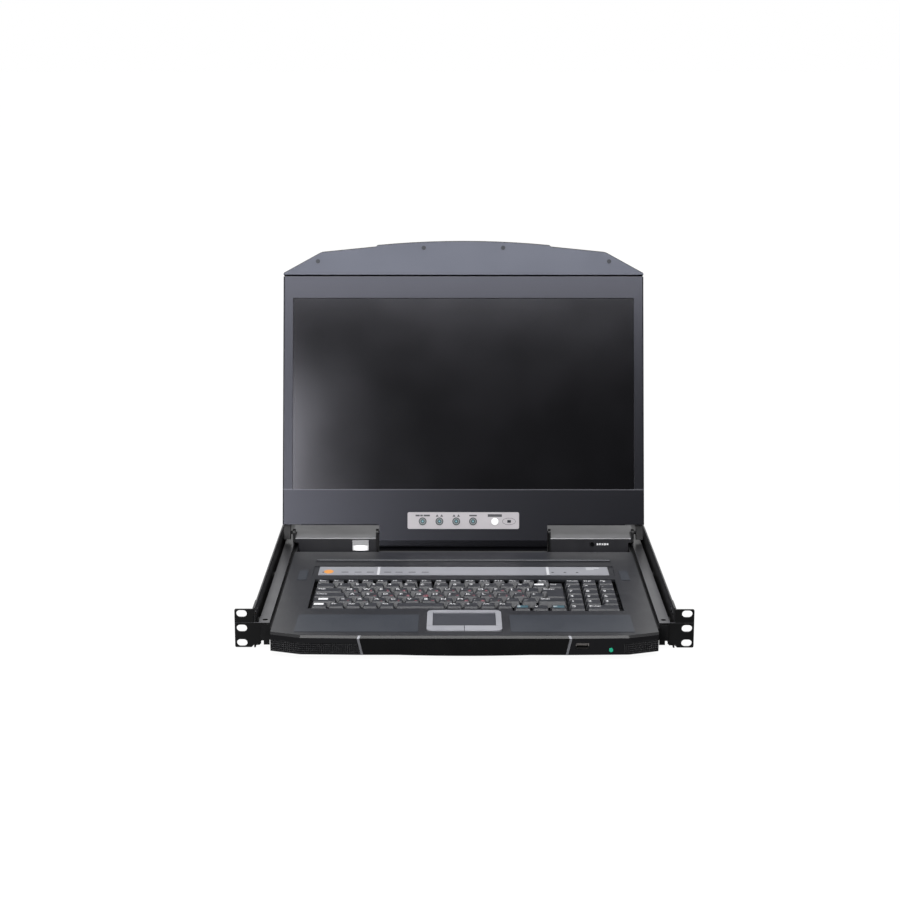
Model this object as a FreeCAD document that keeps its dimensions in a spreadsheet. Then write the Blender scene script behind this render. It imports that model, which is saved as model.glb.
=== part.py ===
import FreeCAD, Part
import math
import os
import types

import Sketcher

# Rackmount LCD console drawer, in millimetres. X points right, Y back and Z up.
# The origin is the centre of the rack-ear holes, on the front face of the ears.

os.makedirs("parts", exist_ok=True)
doc = FreeCAD.newDocument("ConsoleDrawer")
V = FreeCAD.Vector

# ---------------------------------------------------------------- driving sizes

SIZES = {
    # case
    "case_width": 440.6,
    "case_height": 43.6,
    "case_depth": 650.0,
    "sheet": 1.5,
    "case_box_start": 440.0,
    "case_tray_start": 30.0,
    "case_lip": 9.0,
    # rack ears: the slots lie on the 19-inch standard's span, three an ear
    "slot_inset": 12.25,
    "slot_pitch": 15.875,
    "slot_length": 11.0,
    "slot_width": 7.5,
    "ear_margin": 7.45,
    "ear_rise": 20.8,
    "ear_thickness": 2.0,
    "ear_corner": 1.6,
    "ear_foot": 2.4,
    "flange_length": 38.0,
    "boss_radius": 5.0,
    "boss_drop": 12.0,
    "rail_hole_inset": 5.3,
    "rail_hole_y": 10.6,
    "rail_hole_radius": 2.9,
    # rear box: vents, cable opening, board and supply
    "cable_half": 60.0,
    "cable_height": 18.0,
    "vent_length": 24.0,
    "vent_width": 3.0,
    "vent_pitch": 9.0,
    "vent_inset": 62.0,
    "vent_inner": 80.0,
    "vent_step": 35.0,
    "panel_vent_length": 10.0,
    "panel_vent_width": 2.6,
    "panel_vent_pitch": 6.0,
    "panel_vent_low": 10.0,
    "panel_vent_start": 30.0,
    "panel_vent_step": 15.0,
    "opening_gap": 0.3,
    "board_left": 190.0,
    "board_right": 10.0,
    "board_front_gap": 20.0,
    "board_rear_gap": 6.0,
    "board_stand": 4.0,
    "board_sheet": 1.6,
    "standoff_radius": 3.0,
    "standoff_inset": 10.0,
    "supply_left": 40.0,
    "supply_right": 190.0,
    "supply_front_gap": 30.0,
    "supply_rear_gap": 60.0,
    "supply_top": 13.0,
    "supply_foot": 10.0,
    # rear connectors
    "port_z": 6.0,
    "port_wall": 1.2,
    "port_depth": 14.0,
    "port_reach": 0.8,
    "port_mouth": 9.0,
    "video_x": 150.0,
    "video_width": 31.0,
    "video_height": 11.0,
    "console_x": 105.0,
    "console_width": 13.0,
    "console_height": 11.5,
    "network_x": 78.0,
    "network_width": 16.5,
    "network_height": 13.5,
    "audio_in_x": 50.0,
    "audio_out_x": 32.0,
    "audio_width": 12.0,
    "audio_height": 12.0,
    "service_x": 10.0,
    "inlet_x": 165.0,
    "inlet_half": 14.2,
    "inlet_half_height": 10.2,
    "inlet_block": 2.7,
    "inlet_depth": 24.0,
    "inlet_flange": 2.0,
    "inlet_flange_reach": 2.0,
    "well_half": 12.4,
    "well_half_height": 8.5,
    "well_depth": 16.0,
    "pin_width": 2.0,
    "pin_height": 5.0,
    "pin_spread": 7.0,
    "rocker_x": 128.0,
    "rocker_half": 8.0,
    "rocker_depth": 14.0,
    "rocker_pivot": 4.0,
    "rocker_pin": 1.2,
    "rocker_side_gap": 0.4,
    # rear brackets and their studs
    "bracket_gap": 0.5,
    "bracket_lap": 190.0,
    "bracket_reach": 50.0,
    "bracket_half": 15.0,
    "bracket_slot": 190.0,
    "bracket_slot_width": 5.4,
    "stud_radius": 2.4,
    "stud_head": 5.0,
    "head_height": 1.6,
    "stud_first": 70.0,
    "stud_second": 20.0,
    "screw_radius": 2.6,
    "screw_height": 0.8,
    # slides, from the rail's web in to the drawer's side
    "rail_stand": 3.8,
    "slide_space": 13.0,
    "slide_sheet": 1.2,
    "slide_gap": 0.6,
    "slide_height": 19.8,
    "slide_top": 4.2,
    "slide_start": 6.0,
    "slide_length": 400.0,
    "slide_lip_gap": 4.7,
    "slide_rear_gap": 8.0,
    "slide_plate_gap": 0.5,
    "rail_gap": 3.2,
    "rail_top": 6.0,
    "rail_drop": 17.4,
    "rail_end": 420.0,
    # drawer
    "deck_top": 4.0,
    "deck_sheet": 2.5,
    "deck_rear": 278.0,
    "deck_front": 35.4,
    "deck_corner_y": 22.5,
    "deck_corner_x": 170.0,
    "bezel_reach": 3.0,
    "bezel_bevel": 2.3,
    "bezel_drop": 16.0,
    "bezel_depth": 9.0,
    "handle_half": 108.0,
    "handle_bulge": 1.0,
    "handle_flat": 40.0,
    "trim_width": 2.4,
    "trim_lean": 4.0,
    "trim_turn": 1.5,
    "trim_rise": 0.4,
    "side_relief": 315.0,
    "groove_front": 228.0,
    "groove_rear": 240.0,
    "groove_half": 172.0,
    "groove_depth": 0.8,
    "tray_low": 18.0,
    "tray_sheet": 1.2,
    "tray_end": 400.0,
    "well_floor": 12.0,
    # keyboard
    "key_pitch": 18.2,
    "key_gap": 1.2,
    "key_left": 166.0,
    "key_right": 112.0,
    "key_front": 57.8,
    "key_top": 4.4,
    "key_skirt": 6.0,
    "key_travel": 2.0,
    "key_side_bevel": 1.9,
    "key_front_bevel": 3.2,
    "key_rear_bevel": 1.2,
    "key_stem": 4.0,
    "function_pitch": 16.46,
    "function_depth": 13.0,
    "digit_first": 23.1,
    "tab_width": 32.3,
    "caps_width": 36.9,
    "shift_width": 27.8,
    "control_width": 19.0,
    "space_width": 54.6,
    "arrow_width": 19.55,
    "pad_shift": 8.0,
    "pad_pitch": 18.6,
    "well_margin": 2.2,
    "guide_sheet": 1.8,
    "guide_rim": 2.0,
    # indicator strip behind the keys
    "strip_half": 166.0,
    "strip_front": 181.0,
    "strip_rear": 213.0,
    "strip_rise": 0.6,
    "strip_recess": 0.8,
    "strip_side_gap": 6.5,
    "strip_front_gap": 1.5,
    "strip_rear_gap": 3.5,
    # touchpad
    "touch_half": 39.3,
    "touch_front": -21.0,
    "touch_rear": 48.0,
    "touch_rise": 0.7,
    "touch_corner": 7.0,
    "window_half": 33.2,
    "window_front": -4.3,
    "window_rear": 40.8,
    "click_gap": 0.35,
    "click_travel": 0.8,
    "touch_fit": 0.3,
    # palm rests and bumpers
    "palm_inner": 48.0,
    "palm_outer": 176.0,
    "palm_front": -24.0,
    "palm_rear": 33.0,
    "patch_rise": 0.4,
    "bumper_inset": 17.5,
    "bumper_y": 179.0,
    "bumper_width": 10.0,
    "bumper_length": 36.0,
    # bezel fittings
    "usb_x": 121.0,
    "usb_z": -6.4,
    "usb_width": 13.2,
    "usb_height": 5.8,
    "led_x": 150.5,
    "led_z": -10.6,
    "led_radius": 2.0,
    # hinge
    "hinge_y": 312.8,
    "hinge_z": 18.3,
    "recline": 14.84,
    "pin_radius": 2.0,
    "pin_fit": 0.05,
    "leaf_radius": 4.4,
    "leaf_sheet": 3.2,
    "arm_gap": 6.0,
    "arm_inset": 1.5,
    "arm_face": 6.4,
    "arm_drop": 8.6,
    "lug_radius": 3.4,
    "lug_width": 11.4,
    # hinge housings
    "housing_inner": 105.5,
    "housing_overhang": 2.0,
    "housing_box_inset": 3.5,
    "housing_front": 308.0,
    "housing_step": 336.0,
    "housing_rear": 367.0,
    "housing_top": 12.6,
    "housing_lid": 1.4,
    "housing_lid_inward": 3.5,
    "housing_lid_outward": 5.0,
    "lamp_x": -123.95,
    "lamp_width": 19.3,
    "lamp_low": -2.5,
    "lamp_high": 10.0,
    "lamp_reach": 3.5,
    "lamp_button_x": 155.5,
    "lamp_button_z": 5.0,
    "lamp_button_radius": 2.5,
    "lamp_button_reach": 1.2,
    # LCD module, in its own plane: across X, up from the hinge axis, out of the screen
    "lcd_inset": 2.8,
    "lcd_face": 11.75,
    "lcd_back": 3.25,
    "lcd_split": 3.0,
    "lcd_low": 9.5,
    "lcd_seam": 310.2,
    "lcd_seam_gap": 2.2,
    "lcd_shoulder": 313.8,
    "lcd_corner": 339.3,
    "lcd_corner_inset": 45.9,
    "lcd_bend": 14.0,
    "lcd_rim": 1.2,
    "handle_plate": 2.2,
    "handle_drop": 0.6,
    "lcd_step": 345.9,
    "lcd_step_rise": 1.8,
    "lcd_step_half": 104.0,
    "lcd_apex": 352.7,
    "tongue_gap": 4.5,
    "tongue_drop": 22.5,
    "tongue_thickness": 8.0,
    "tongue_round": 7.0,
    "screen_centre": 167.5,
    "screen_margin": 11.7,
    "screen_height": 231.0,
    "screen_recess": 1.6,
    "lcd_wall": 2.0,
    "lcd_edge": 1.8,
    "tab_low": 17.5,
    "tab_high": 55.5,
    "tab_rise": 0.4,
    # on-screen-display panel
    "osd_low": 4.2,
    "osd_high": 24.3,
    "osd_half": 67.0,
    "osd_rise": 0.5,
    "osd_row": 13.3,
    "osd_button_radius": 4.4,
    "osd_button_rise": 1.1,
    "osd_button_fit": 0.2,
    "osd_first": -48.9,
    "osd_pitch": 20.2,
    "osd_power": 37.9,
    "osd_window": 55.1,
}
sheet = doc.addObject("Spreadsheet::Sheet", "Sizes")
for row, (alias, value) in enumerate(SIZES.items(), 1):
    sheet.set("A%d" % row, alias)
    sheet.set("B%d" % row, str(value))
    sheet.setAlias("B%d" % row, alias)
doc.recompute()


class Dim:
    """A length: its number now, and the spreadsheet expression that it is bound to."""

    def __init__(self, number, text):
        self.number = float(number)
        self.text = text

    def __add__(self, other):
        other = dim(other)
        return Dim(self.number + other.number, "(%s + %s)" % (self.text, other.text))

    def __sub__(self, other):
        other = dim(other)
        return Dim(self.number - other.number, "(%s - %s)" % (self.text, other.text))

    def __mul__(self, other):
        other = dim(other)
        return Dim(self.number * other.number, "(%s * %s)" % (self.text, other.text))

    def __truediv__(self, other):
        other = dim(other)
        return Dim(self.number / other.number, "(%s / %s)" % (self.text, other.text))

    def __neg__(self):
        return Dim(-self.number, "(0 - %s)" % self.text)

    def __gt__(self, other):
        return self.number > dim(other).number

    def __lt__(self, other):
        return self.number < dim(other).number

    def __radd__(self, other):
        return dim(other) + self

    def __rsub__(self, other):
        return dim(other) - self

    def __rmul__(self, other):
        return dim(other) * self


def dim(value):
    return value if isinstance(value, Dim) else Dim(value, "%.6f" % value)


s = types.SimpleNamespace(**{name: Dim(value, "Sizes." + name) for name, value in SIZES.items()})

# ---------------------------------------------------------------- ways of making a piece


def bind(obj, prop, value):
    obj.setExpression(prop, dim(value).text)


def box(name, x, y, z):
    """Block between the two values of each of x, y and z."""
    obj = doc.addObject("Part::Box", name)
    for prop, axis, (low, high) in (("Length", "x", x), ("Width", "y", y), ("Height", "z", z)):
        bind(obj, prop, dim(high) - low)
        bind(obj, "Placement.Base." + axis, low)
    return obj


TURNS = {
    "x": FreeCAD.Rotation(V(0, 1, 0), 90),
    "y": FreeCAD.Rotation(V(1, 0, 0), -90),
    "z": FreeCAD.Rotation(),
}


def rod(name, axis, start, end, centre, radius):
    """Cylinder along an axis from start to end; centre gives its other two coordinates in order."""
    obj = doc.addObject("Part::Cylinder", name)
    obj.Placement = FreeCAD.Placement(V(), TURNS[axis])
    bind(obj, "Radius", radius)
    bind(obj, "Height", dim(end) - start)
    bind(obj, "Placement.Base." + axis, start)
    for other, value in zip([a for a in "xyz" if a != axis], centre):
        bind(obj, "Placement.Base." + other, value)
    return obj


def fuse(name, pieces):
    obj = doc.addObject("Part::MultiFuse", name)
    obj.Shapes = pieces
    return obj


def group(name, pieces):
    """Separate solids kept in one node."""
    obj = doc.addObject("Part::Compound", name)
    obj.Links = pieces
    return obj


def cut(name, base, tools):
    obj = doc.addObject("Part::Cut", name)
    obj.Base = base
    obj.Tool = tools[0] if len(tools) == 1 else group(name + "_tools", tools)
    return obj


def mirror(name, source):
    """The same piece on the other side of the middle plane."""
    obj = doc.addObject("Part::Mirroring", name)
    obj.Source = source
    obj.Normal = V(1, 0, 0)
    return obj


def new_body(name):
    return doc.addObject("PartDesign::Body", name)


def round_centre(a, b, radius):
    """Centre of the circle through a and b; a positive radius bulges to the right on the way to b."""
    half = (b - a) * 0.5
    side = V(half.y, -half.x, 0).normalize()
    reach = math.sqrt(max(radius * radius - half.Length ** 2, 0.0))
    return a + half - side * reach * (1 if radius > 0 else -1)


def rectangle(u, v):
    return [(u[0], v[0]), (u[1], v[0]), (u[1], v[1]), (u[0], v[1])]


class Disc:
    """A round outline."""

    def __init__(self, centre, radius):
        self.centre = [dim(value) for value in centre]
        self.radius = dim(radius)


class Slot:
    """A slot outline along the first direction, with round ends."""

    def __init__(self, centre, length, width):
        self.centre = [dim(value) for value in centre]
        self.radius = dim(width) / 2
        self.reach = (dim(length) - width) / 2


class Tracer:
    """Collects a sketch's edges and constraints, then adds them in one go."""

    def __init__(self, sketch):
        self.sketch = sketch
        self.edges = []
        self.constraints = []
        self.bound = []

    def edge(self, shape):
        self.edges.append(shape)
        return len(self.edges) - 1

    def join(self, a, b):
        self.constraints.append(Sketcher.Constraint("Coincident", a[0], a[1], b[0], b[1]))

    def fix(self, kind, spot, value):
        """Distance of a point from the origin, bound to its expression."""
        value = dim(value)
        self.bound.append((len(self.constraints), value))
        self.constraints.append(Sketcher.Constraint(kind, -1, 1, spot[0], spot[1], value.number))

    def fix_radius(self, edge, value):
        self.bound.append((len(self.constraints), value))
        self.constraints.append(Sketcher.Constraint("Radius", edge, value.number))

    def finish(self):
        self.sketch.addGeometry(self.edges, False)
        self.sketch.addConstraint(self.constraints)
        for index, value in self.bound:
            bind(self.sketch, "Constraints[%d]" % index, value)


def trace_disc(tracer, disc):
    centre = V(disc.centre[0].number, disc.centre[1].number, 0)
    edge = tracer.edge(Part.Circle(centre, V(0, 0, 1), disc.radius.number))
    tracer.fix("DistanceX", (edge, 3), disc.centre[0])
    tracer.fix("DistanceY", (edge, 3), disc.centre[1])
    tracer.fix_radius(edge, disc.radius)


def trace_slot(tracer, slot):
    u, v = slot.centre
    right, left = u + slot.reach, u - slot.reach
    low, high = v - slot.radius, v + slot.radius
    flat = [V(x.number, y.number, 0) for x, y in ((left, low), (right, low), (right, high), (left, high))]
    radius = slot.radius.number
    ends = [Part.Circle(V(x.number, v.number, 0), V(0, 0, 1), radius) for x in (right, left)]
    lower = tracer.edge(Part.LineSegment(flat[0], flat[1]))
    right_end = tracer.edge(Part.ArcOfCircle(ends[0], -math.pi / 2, math.pi / 2))
    upper = tracer.edge(Part.LineSegment(flat[2], flat[3]))
    left_end = tracer.edge(Part.ArcOfCircle(ends[1], math.pi / 2, 3 * math.pi / 2))
    loop = (lower, right_end, upper, left_end)
    for edge, following in zip(loop, loop[1:] + loop[:1]):
        tracer.join((edge, 2), (following, 1))
    for spot, x, y in (((lower, 1), left, low), ((upper, 1), right, high),
                       ((right_end, 3), right, v), ((left_end, 3), left, v)):
        tracer.fix("DistanceX", spot, x)
        tracer.fix("DistanceY", spot, y)
    tracer.fix("DistanceX", (lower, 2), right)
    tracer.fix("DistanceX", (upper, 2), left)


def trace_outline(tracer, outline):
    """Closed outline of (u, v) points.

    A third value makes the side that follows an arc of that radius, or a half circle where it says round.
    """
    points = [V(dim(p[0]).number, dim(p[1]).number, 0) for p in outline]
    ends = []
    for index, point in enumerate(outline):
        a = points[index]
        b = points[(index + 1) % len(points)]
        if len(point) == 2:
            ends.append((tracer.edge(Part.LineSegment(a, b)), 1, 2))
            continue
        if point[2] == "round":
            level = abs(b.x - a.x) > abs(b.y - a.y)
            circle = Part.Circle((a + b) * 0.5, V(0, 0, 1), (b - a).Length / 2)
            turn = math.atan2(a.y - b.y, a.x - b.x)
            edge = tracer.edge(Part.ArcOfCircle(circle, turn, turn + math.pi))
            ends.append((edge, 1, 2))
            along = 1 if level else 0
            middle = (dim(point[along]) + outline[(index + 1) % len(outline)][along]) / 2
            tracer.fix("DistanceY" if level else "DistanceX", (edge, 3), middle)
            continue
        radius = dim(point[2])
        centre = round_centre(a, b, radius.number)
        angles = [math.atan2(p.y - centre.y, p.x - centre.x) for p in (a, b)]
        forward = radius.number > 0
        circle = Part.Circle(centre, V(0, 0, 1), abs(radius.number))
        edge = tracer.edge(Part.ArcOfCircle(circle, *(angles if forward else angles[::-1])))
        ends.append((edge, 1, 2) if forward else (edge, 2, 1))
        tracer.fix_radius(edge, radius if forward else -radius)
    for index, (edge, start, end) in enumerate(ends):
        following = ends[(index + 1) % len(ends)]
        tracer.join((edge, end), (following[0], following[1]))
        tracer.fix("DistanceX", (edge, start), outline[index][0])
        tracer.fix("DistanceY", (edge, start), outline[index][1])


def add_sketch(body, name, plane, offset, outlines):
    """Sketch on one of the body's own planes, offset along that plane's normal (-Y for XZ)."""
    sketch = body.newObject("Sketcher::SketchObject", name)
    role = [item for item in body.Origin.OriginFeatures if item.Role == plane + "_Plane"][0]
    sketch.AttachmentSupport = [(role, "")]
    sketch.MapMode = "FlatFace"
    bind(sketch, "AttachmentOffset.Base.z", offset)
    tracer = Tracer(sketch)
    for outline in outlines:
        if isinstance(outline, Disc):
            trace_disc(tracer, outline)
        elif isinstance(outline, Slot):
            trace_slot(tracer, outline)
        else:
            trace_outline(tracer, outline)
    tracer.finish()
    return sketch


def pad(body, name, plane, outlines, start, end):
    """Material between two places along the plane's axis."""
    offset = -dim(end) if plane == "XZ" else start
    sketch = add_sketch(body, name + "_sketch", plane, offset, outlines)
    feature = body.newObject("PartDesign::Pad", name)
    feature.Profile = sketch
    bind(feature, "Length", dim(end) - start)
    body.Tip = feature
    return feature


POCKETS = []


def pocket(body, name, plane, outlines, start, end):
    """Opening between two places along the plane's axis."""
    offset = -dim(start) if plane == "XZ" else end
    sketch = add_sketch(body, name + "_sketch", plane, offset, outlines)
    feature = body.newObject("PartDesign::Pocket", name)
    feature.Profile = sketch
    bind(feature, "Length", dim(end) - start)
    body.Tip = feature
    POCKETS.append(feature)
    return feature


def repeat(body, name, feature, axis, length, count):
    """The feature's copies spread over a length along one of the body's own axes."""
    doc.recompute()
    role = [item for item in body.Origin.OriginFeatures if item.Role == axis + "_Axis"][0]
    pattern = body.newObject("PartDesign::LinearPattern", name)
    pattern.Originals = [feature]
    pattern.Direction = (role, [""])
    bind(pattern, "Length", length)
    pattern.Occurrences = count
    body.Tip = pattern
    return pattern


def edges_where(shape, wanted):
    """Names of the edges whose middle point and direction pass the test."""
    names = []
    for index, edge in enumerate(shape.Edges, 1):
        middle = edge.valueAt((edge.FirstParameter + edge.LastParameter) / 2)
        along = edge.tangentAt((edge.FirstParameter + edge.LastParameter) / 2)
        if wanted(middle, along):
            names.append("Edge%d" % index)
    return names


def soften(body, name, kind, amount, wanted):
    """Fillet or Chamfer on the edges that pass the test."""
    doc.recompute()
    base = body.Tip
    feature = body.newObject("PartDesign::" + kind, name)
    feature.Base = (base, edges_where(base.Shape, wanted))
    bind(feature, "Radius" if kind == "Fillet" else "Size", amount)
    body.Tip = feature
    return feature


NODES = []


def node(obj, label):
    """Registers a finished sub-part under the name that its file takes."""
    obj.Label = label
    NODES.append(obj)
    return obj


def both_sides(piece, name):
    """The right-hand piece and its mirror image, as two nodes."""
    node(piece, "right_" + name)
    node(mirror("Left_" + name, piece), "left_" + name)


# ---------------------------------------------------------------- case

case_half = s.case_width / 2
case_inner = case_half - s.sheet
case_top = s.case_height / 2
case_low = -case_top
rail_outer = case_inner - s.rail_stand
rail_web = rail_outer - s.sheet
drawer_half = rail_web - s.slide_space
rail_edge = drawer_half + s.rail_gap
ear_x = case_half + s.slot_inset
ear_outer = ear_x + s.ear_margin
ear_heights = (-s.slot_pitch, dim(0), s.slot_pitch)


def ear_slots():
    return [Slot((ear_x, height), s.slot_length, s.slot_width) for height in ear_heights]


def side_wall():
    """Flat sheet wall of the case."""
    wall = new_body("Side_wall")
    pad(wall, "Wall_sheet", "XZ", [rectangle((case_inner, case_half), (case_low, case_top))],
        s.ear_thickness, s.case_depth)
    return wall


def rack_rail():
    """Ear plate, channel with a top flange, wall flange and bosses, folded from one sheet."""
    rail = new_body("Rack_rail")
    foot = s.ear_foot - s.ear_rise
    ear = [
        (rail_web, s.rail_top), (case_half, s.rail_top), (case_half, s.ear_rise),
        (ear_outer, s.ear_rise), (ear_outer, -s.ear_rise), (case_half + s.ear_foot, -s.ear_rise),
        (case_half, foot), (rail_web + 1, foot), (rail_web, foot + 1),
    ]
    pad(rail, "Ear_plate", "XZ", [ear] + ear_slots(), 0, s.ear_thickness)
    channel = [
        (rail_edge, s.rail_top), (rail_edge, s.rail_top - s.sheet), (rail_web, s.rail_top - s.sheet),
        (rail_web, -s.rail_drop), (rail_outer, -s.rail_drop), (rail_outer, s.rail_top),
    ]
    pad(rail, "Channel", "XZ", [channel], 0, s.rail_end)
    flange = rectangle((case_half, case_half + s.ear_thickness), (s.sheet + foot, -foot))
    pad(rail, "Wall_flange", "XZ", [flange], s.ear_thickness, s.ear_thickness + s.flange_length)
    level = s.rail_top - s.boss_drop
    bosses = [Disc((s.rail_end * share, level), s.boss_radius) for share in (0.1, 0.5, 0.9)]
    pad(rail, "Bosses", "YZ", bosses, rail_outer, case_inner)
    soften(rail, "Ear_corners", "Fillet", s.ear_corner,
           lambda p, d: abs(d.y) > 0.9 and p.x > ear_outer.number - 0.5)
    pocket(rail, "Rail_hole", "XY", [Disc((rail_edge + s.rail_hole_inset, s.rail_hole_y),
                                          s.rail_hole_radius)],
           s.rail_top - s.sheet, s.rail_top)
    return rail


def case_tray():
    """Bottom sheet with upturned sides."""
    tray = new_body("Case_tray")
    section = [
        (-case_inner, case_low), (case_inner, case_low), (case_inner, case_low + s.case_lip),
        (case_inner - s.sheet, case_low + s.case_lip), (case_inner - s.sheet, case_low + s.sheet),
        (s.sheet - case_inner, case_low + s.sheet), (s.sheet - case_inner, case_low + s.case_lip),
        (-case_inner, case_low + s.case_lip),
    ]
    pad(tray, "Bottom", "XZ", [section], s.case_tray_start, s.case_depth - s.sheet)
    return tray


both_sides(side_wall(), "side_wall")
both_sides(rack_rail(), "rack_rail")
tray_top = case_low + s.sheet
node(case_tray(), "case_tray")

# rear of the case: electronics box, panel and brackets

panel_y = s.case_depth - s.sheet
port_z = -s.port_z
PORTS = (
    ("Video", -s.video_x, s.video_width, s.video_height),
    ("Console", -s.console_x, s.console_width, s.console_height),
    ("Network", -s.network_x, s.network_width, s.network_height),
    ("Audio_in", -s.audio_in_x, s.audio_width, s.audio_height),
    ("Audio_out", -s.audio_out_x, s.audio_width, s.audio_height),
    ("Service", -s.service_x, s.console_width, s.console_height),
)
inlet_left = s.rocker_x - s.rocker_half - s.inlet_block
inlet_right = s.inlet_x + s.inlet_half + s.inlet_block
inlet_high = s.inlet_half_height + s.inlet_block
pivot_y = s.case_depth - s.rocker_pivot


def around(centre, size, margin):
    """Lowest and highest value of something of this size, with a margin on both sides."""
    half = size / 2 + margin
    return centre - half, centre + half


def rear_top_cover():
    """Lid of the electronics box, with turned-down sides and a front wall with a cable opening."""
    cover = new_body("Rear_top_cover")
    lid_low = case_top - s.sheet
    section = [
        (-case_inner, lid_low - s.case_lip), (s.sheet - case_inner, lid_low - s.case_lip),
        (s.sheet - case_inner, lid_low), (case_inner - s.sheet, lid_low),
        (case_inner - s.sheet, lid_low - s.case_lip), (case_inner, lid_low - s.case_lip),
        (case_inner, case_top), (-case_inner, case_top),
    ]
    pad(cover, "Lid", "XZ", [section], s.case_box_start, panel_y)
    wall = rectangle((s.sheet * 2 - case_inner, case_inner - s.sheet * 2), (tray_top, lid_low))
    pad(cover, "Front_wall", "XZ", [wall], s.case_box_start, s.case_box_start + s.sheet)
    opening = rectangle((-s.cable_half, s.cable_half), around(dim(0), s.cable_height, 0))
    pocket(cover, "Cable_opening", "XZ", [opening], s.case_box_start - 1, s.case_box_start + s.sheet + 1)
    first = [Slot((side * (s.vent_inner + s.vent_step * place), s.case_depth - s.vent_inset),
                  s.vent_length, s.vent_width) for side in (-1, 1) for place in range(3)]
    vents = pocket(cover, "Vents", "XY", first, lid_low - 1, case_top + 1)
    repeat(cover, "Vent_rows", vents, "Y", s.vent_pitch * 3, 4)
    return cover


def rear_panel():
    """Back sheet with an opening for each connector."""
    panel = new_body("Rear_panel")
    outline = rectangle((s.sheet - case_inner, case_inner - s.sheet), (tray_top, case_top - s.sheet))
    gap = s.opening_gap
    holes = [rectangle(around(x, width, gap), around(port_z, height, gap)) for _, x, width, height in PORTS]
    holes.append(rectangle((inlet_left - gap, inlet_right + gap), (-inlet_high - gap, inlet_high + gap)))
    pad(panel, "Panel_sheet", "XZ", [outline] + holes, panel_y, s.case_depth)
    first = [Slot((s.panel_vent_start + s.panel_vent_step * place, -s.panel_vent_low),
                  s.panel_vent_length, s.panel_vent_width) for place in range(6)]
    vents = pocket(panel, "Panel_vents", "XZ", first, panel_y - 1, s.case_depth + 1)
    repeat(panel, "Panel_vent_rows", vents, "Z", s.panel_vent_pitch * 3, 4)
    return panel


def power_inlet():
    """Moulded block that holds the three-pin inlet and the switch's pocket."""
    block = new_body("Power_inlet")
    pad(block, "Block", "XZ", [rectangle((inlet_left, inlet_right), (-inlet_high, inlet_high))],
        s.case_depth - s.inlet_depth, s.case_depth)
    reach = s.inlet_flange_reach
    flange = rectangle((inlet_left - reach, inlet_right + reach), (-inlet_high - reach, inlet_high + reach))
    face = s.case_depth + s.inlet_flange
    pad(block, "Flange", "XZ", [flange], s.case_depth, face)
    well = rectangle((s.inlet_x - s.well_half, s.inlet_x + s.well_half),
                     (-s.well_half_height, s.well_half_height))
    pocket(block, "Inlet_well", "XZ", [well], s.case_depth - s.well_depth, face + 1)
    drop = s.pin_height / 4
    pins = [rectangle(around(s.inlet_x + side * s.pin_spread, s.pin_width, 0), around(z, s.pin_height, 0))
            for side, z in ((-1, -drop), (0, drop * 2), (1, -drop))]
    pad(block, "Pins", "XZ", pins, s.case_depth - s.well_depth, s.case_depth - 1)
    half, high = s.rocker_half, s.inlet_half_height
    pocket(block, "Switch_pocket", "XZ", [rectangle((s.rocker_x - half, s.rocker_x + half), (-high, high))],
           s.case_depth - s.rocker_depth, face + 1)
    pocket(block, "Switch_bore", "YZ", [Disc((pivot_y, dim(0)), s.rocker_pin + s.pin_fit)],
           s.rocker_x - half - s.pin_width, s.rocker_x + half + s.pin_width)
    return block


def power_rocker():
    """Switch rocker on its cross pin, resting pressed in at the top."""
    rocker = new_body("Power_rocker")
    face, high = s.rocker_pivot + 0.5, s.inlet_half_height - 1.6
    profile = [
        (-face - 0.5, -s.rocker_pivot - 1), (face, -high), (face - 1.7, dim(0)), (face, high),
        (-face - 0.5, s.rocker_pivot + 1),
    ]
    half = s.rocker_half - s.rocker_side_gap
    pad(rocker, "Rocker_face", "YZ", [profile], s.rocker_x - half, s.rocker_x + half)
    half = s.rocker_half + s.pin_width - s.rocker_side_gap
    pad(rocker, "Rocker_pin", "YZ", [Disc((dim(0), dim(0)), s.rocker_pin)], s.rocker_x - half,
        s.rocker_x + half)
    rocker.Placement = FreeCAD.Placement(V(), FreeCAD.Rotation(V(1, 0, 0), 9))
    bind(rocker, "Placement.Base.y", pivot_y)
    return rocker


def rear_ports():
    """Connector bodies that reach through the rear panel from the main board."""
    pieces = []
    front, face = s.case_depth - s.port_depth, s.case_depth + s.port_reach
    for name, x, width, height in PORTS:
        shell = box(name + "_shell", around(x, width, 0), (front, face), around(port_z, height, 0))
        mouth = box(name + "_mouth", around(x, width, -s.port_wall), (s.case_depth - s.port_mouth, face + 1),
                    around(port_z, height, -s.port_wall))
        pieces.append(cut(name + "_port", shell, [mouth]))
    return group("Rear_ports", pieces)


board_low = tray_top + s.board_stand
board_top = board_low + s.board_sheet
board_front = s.case_box_start + s.board_front_gap
board_rear = s.case_depth - s.board_rear_gap


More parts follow.
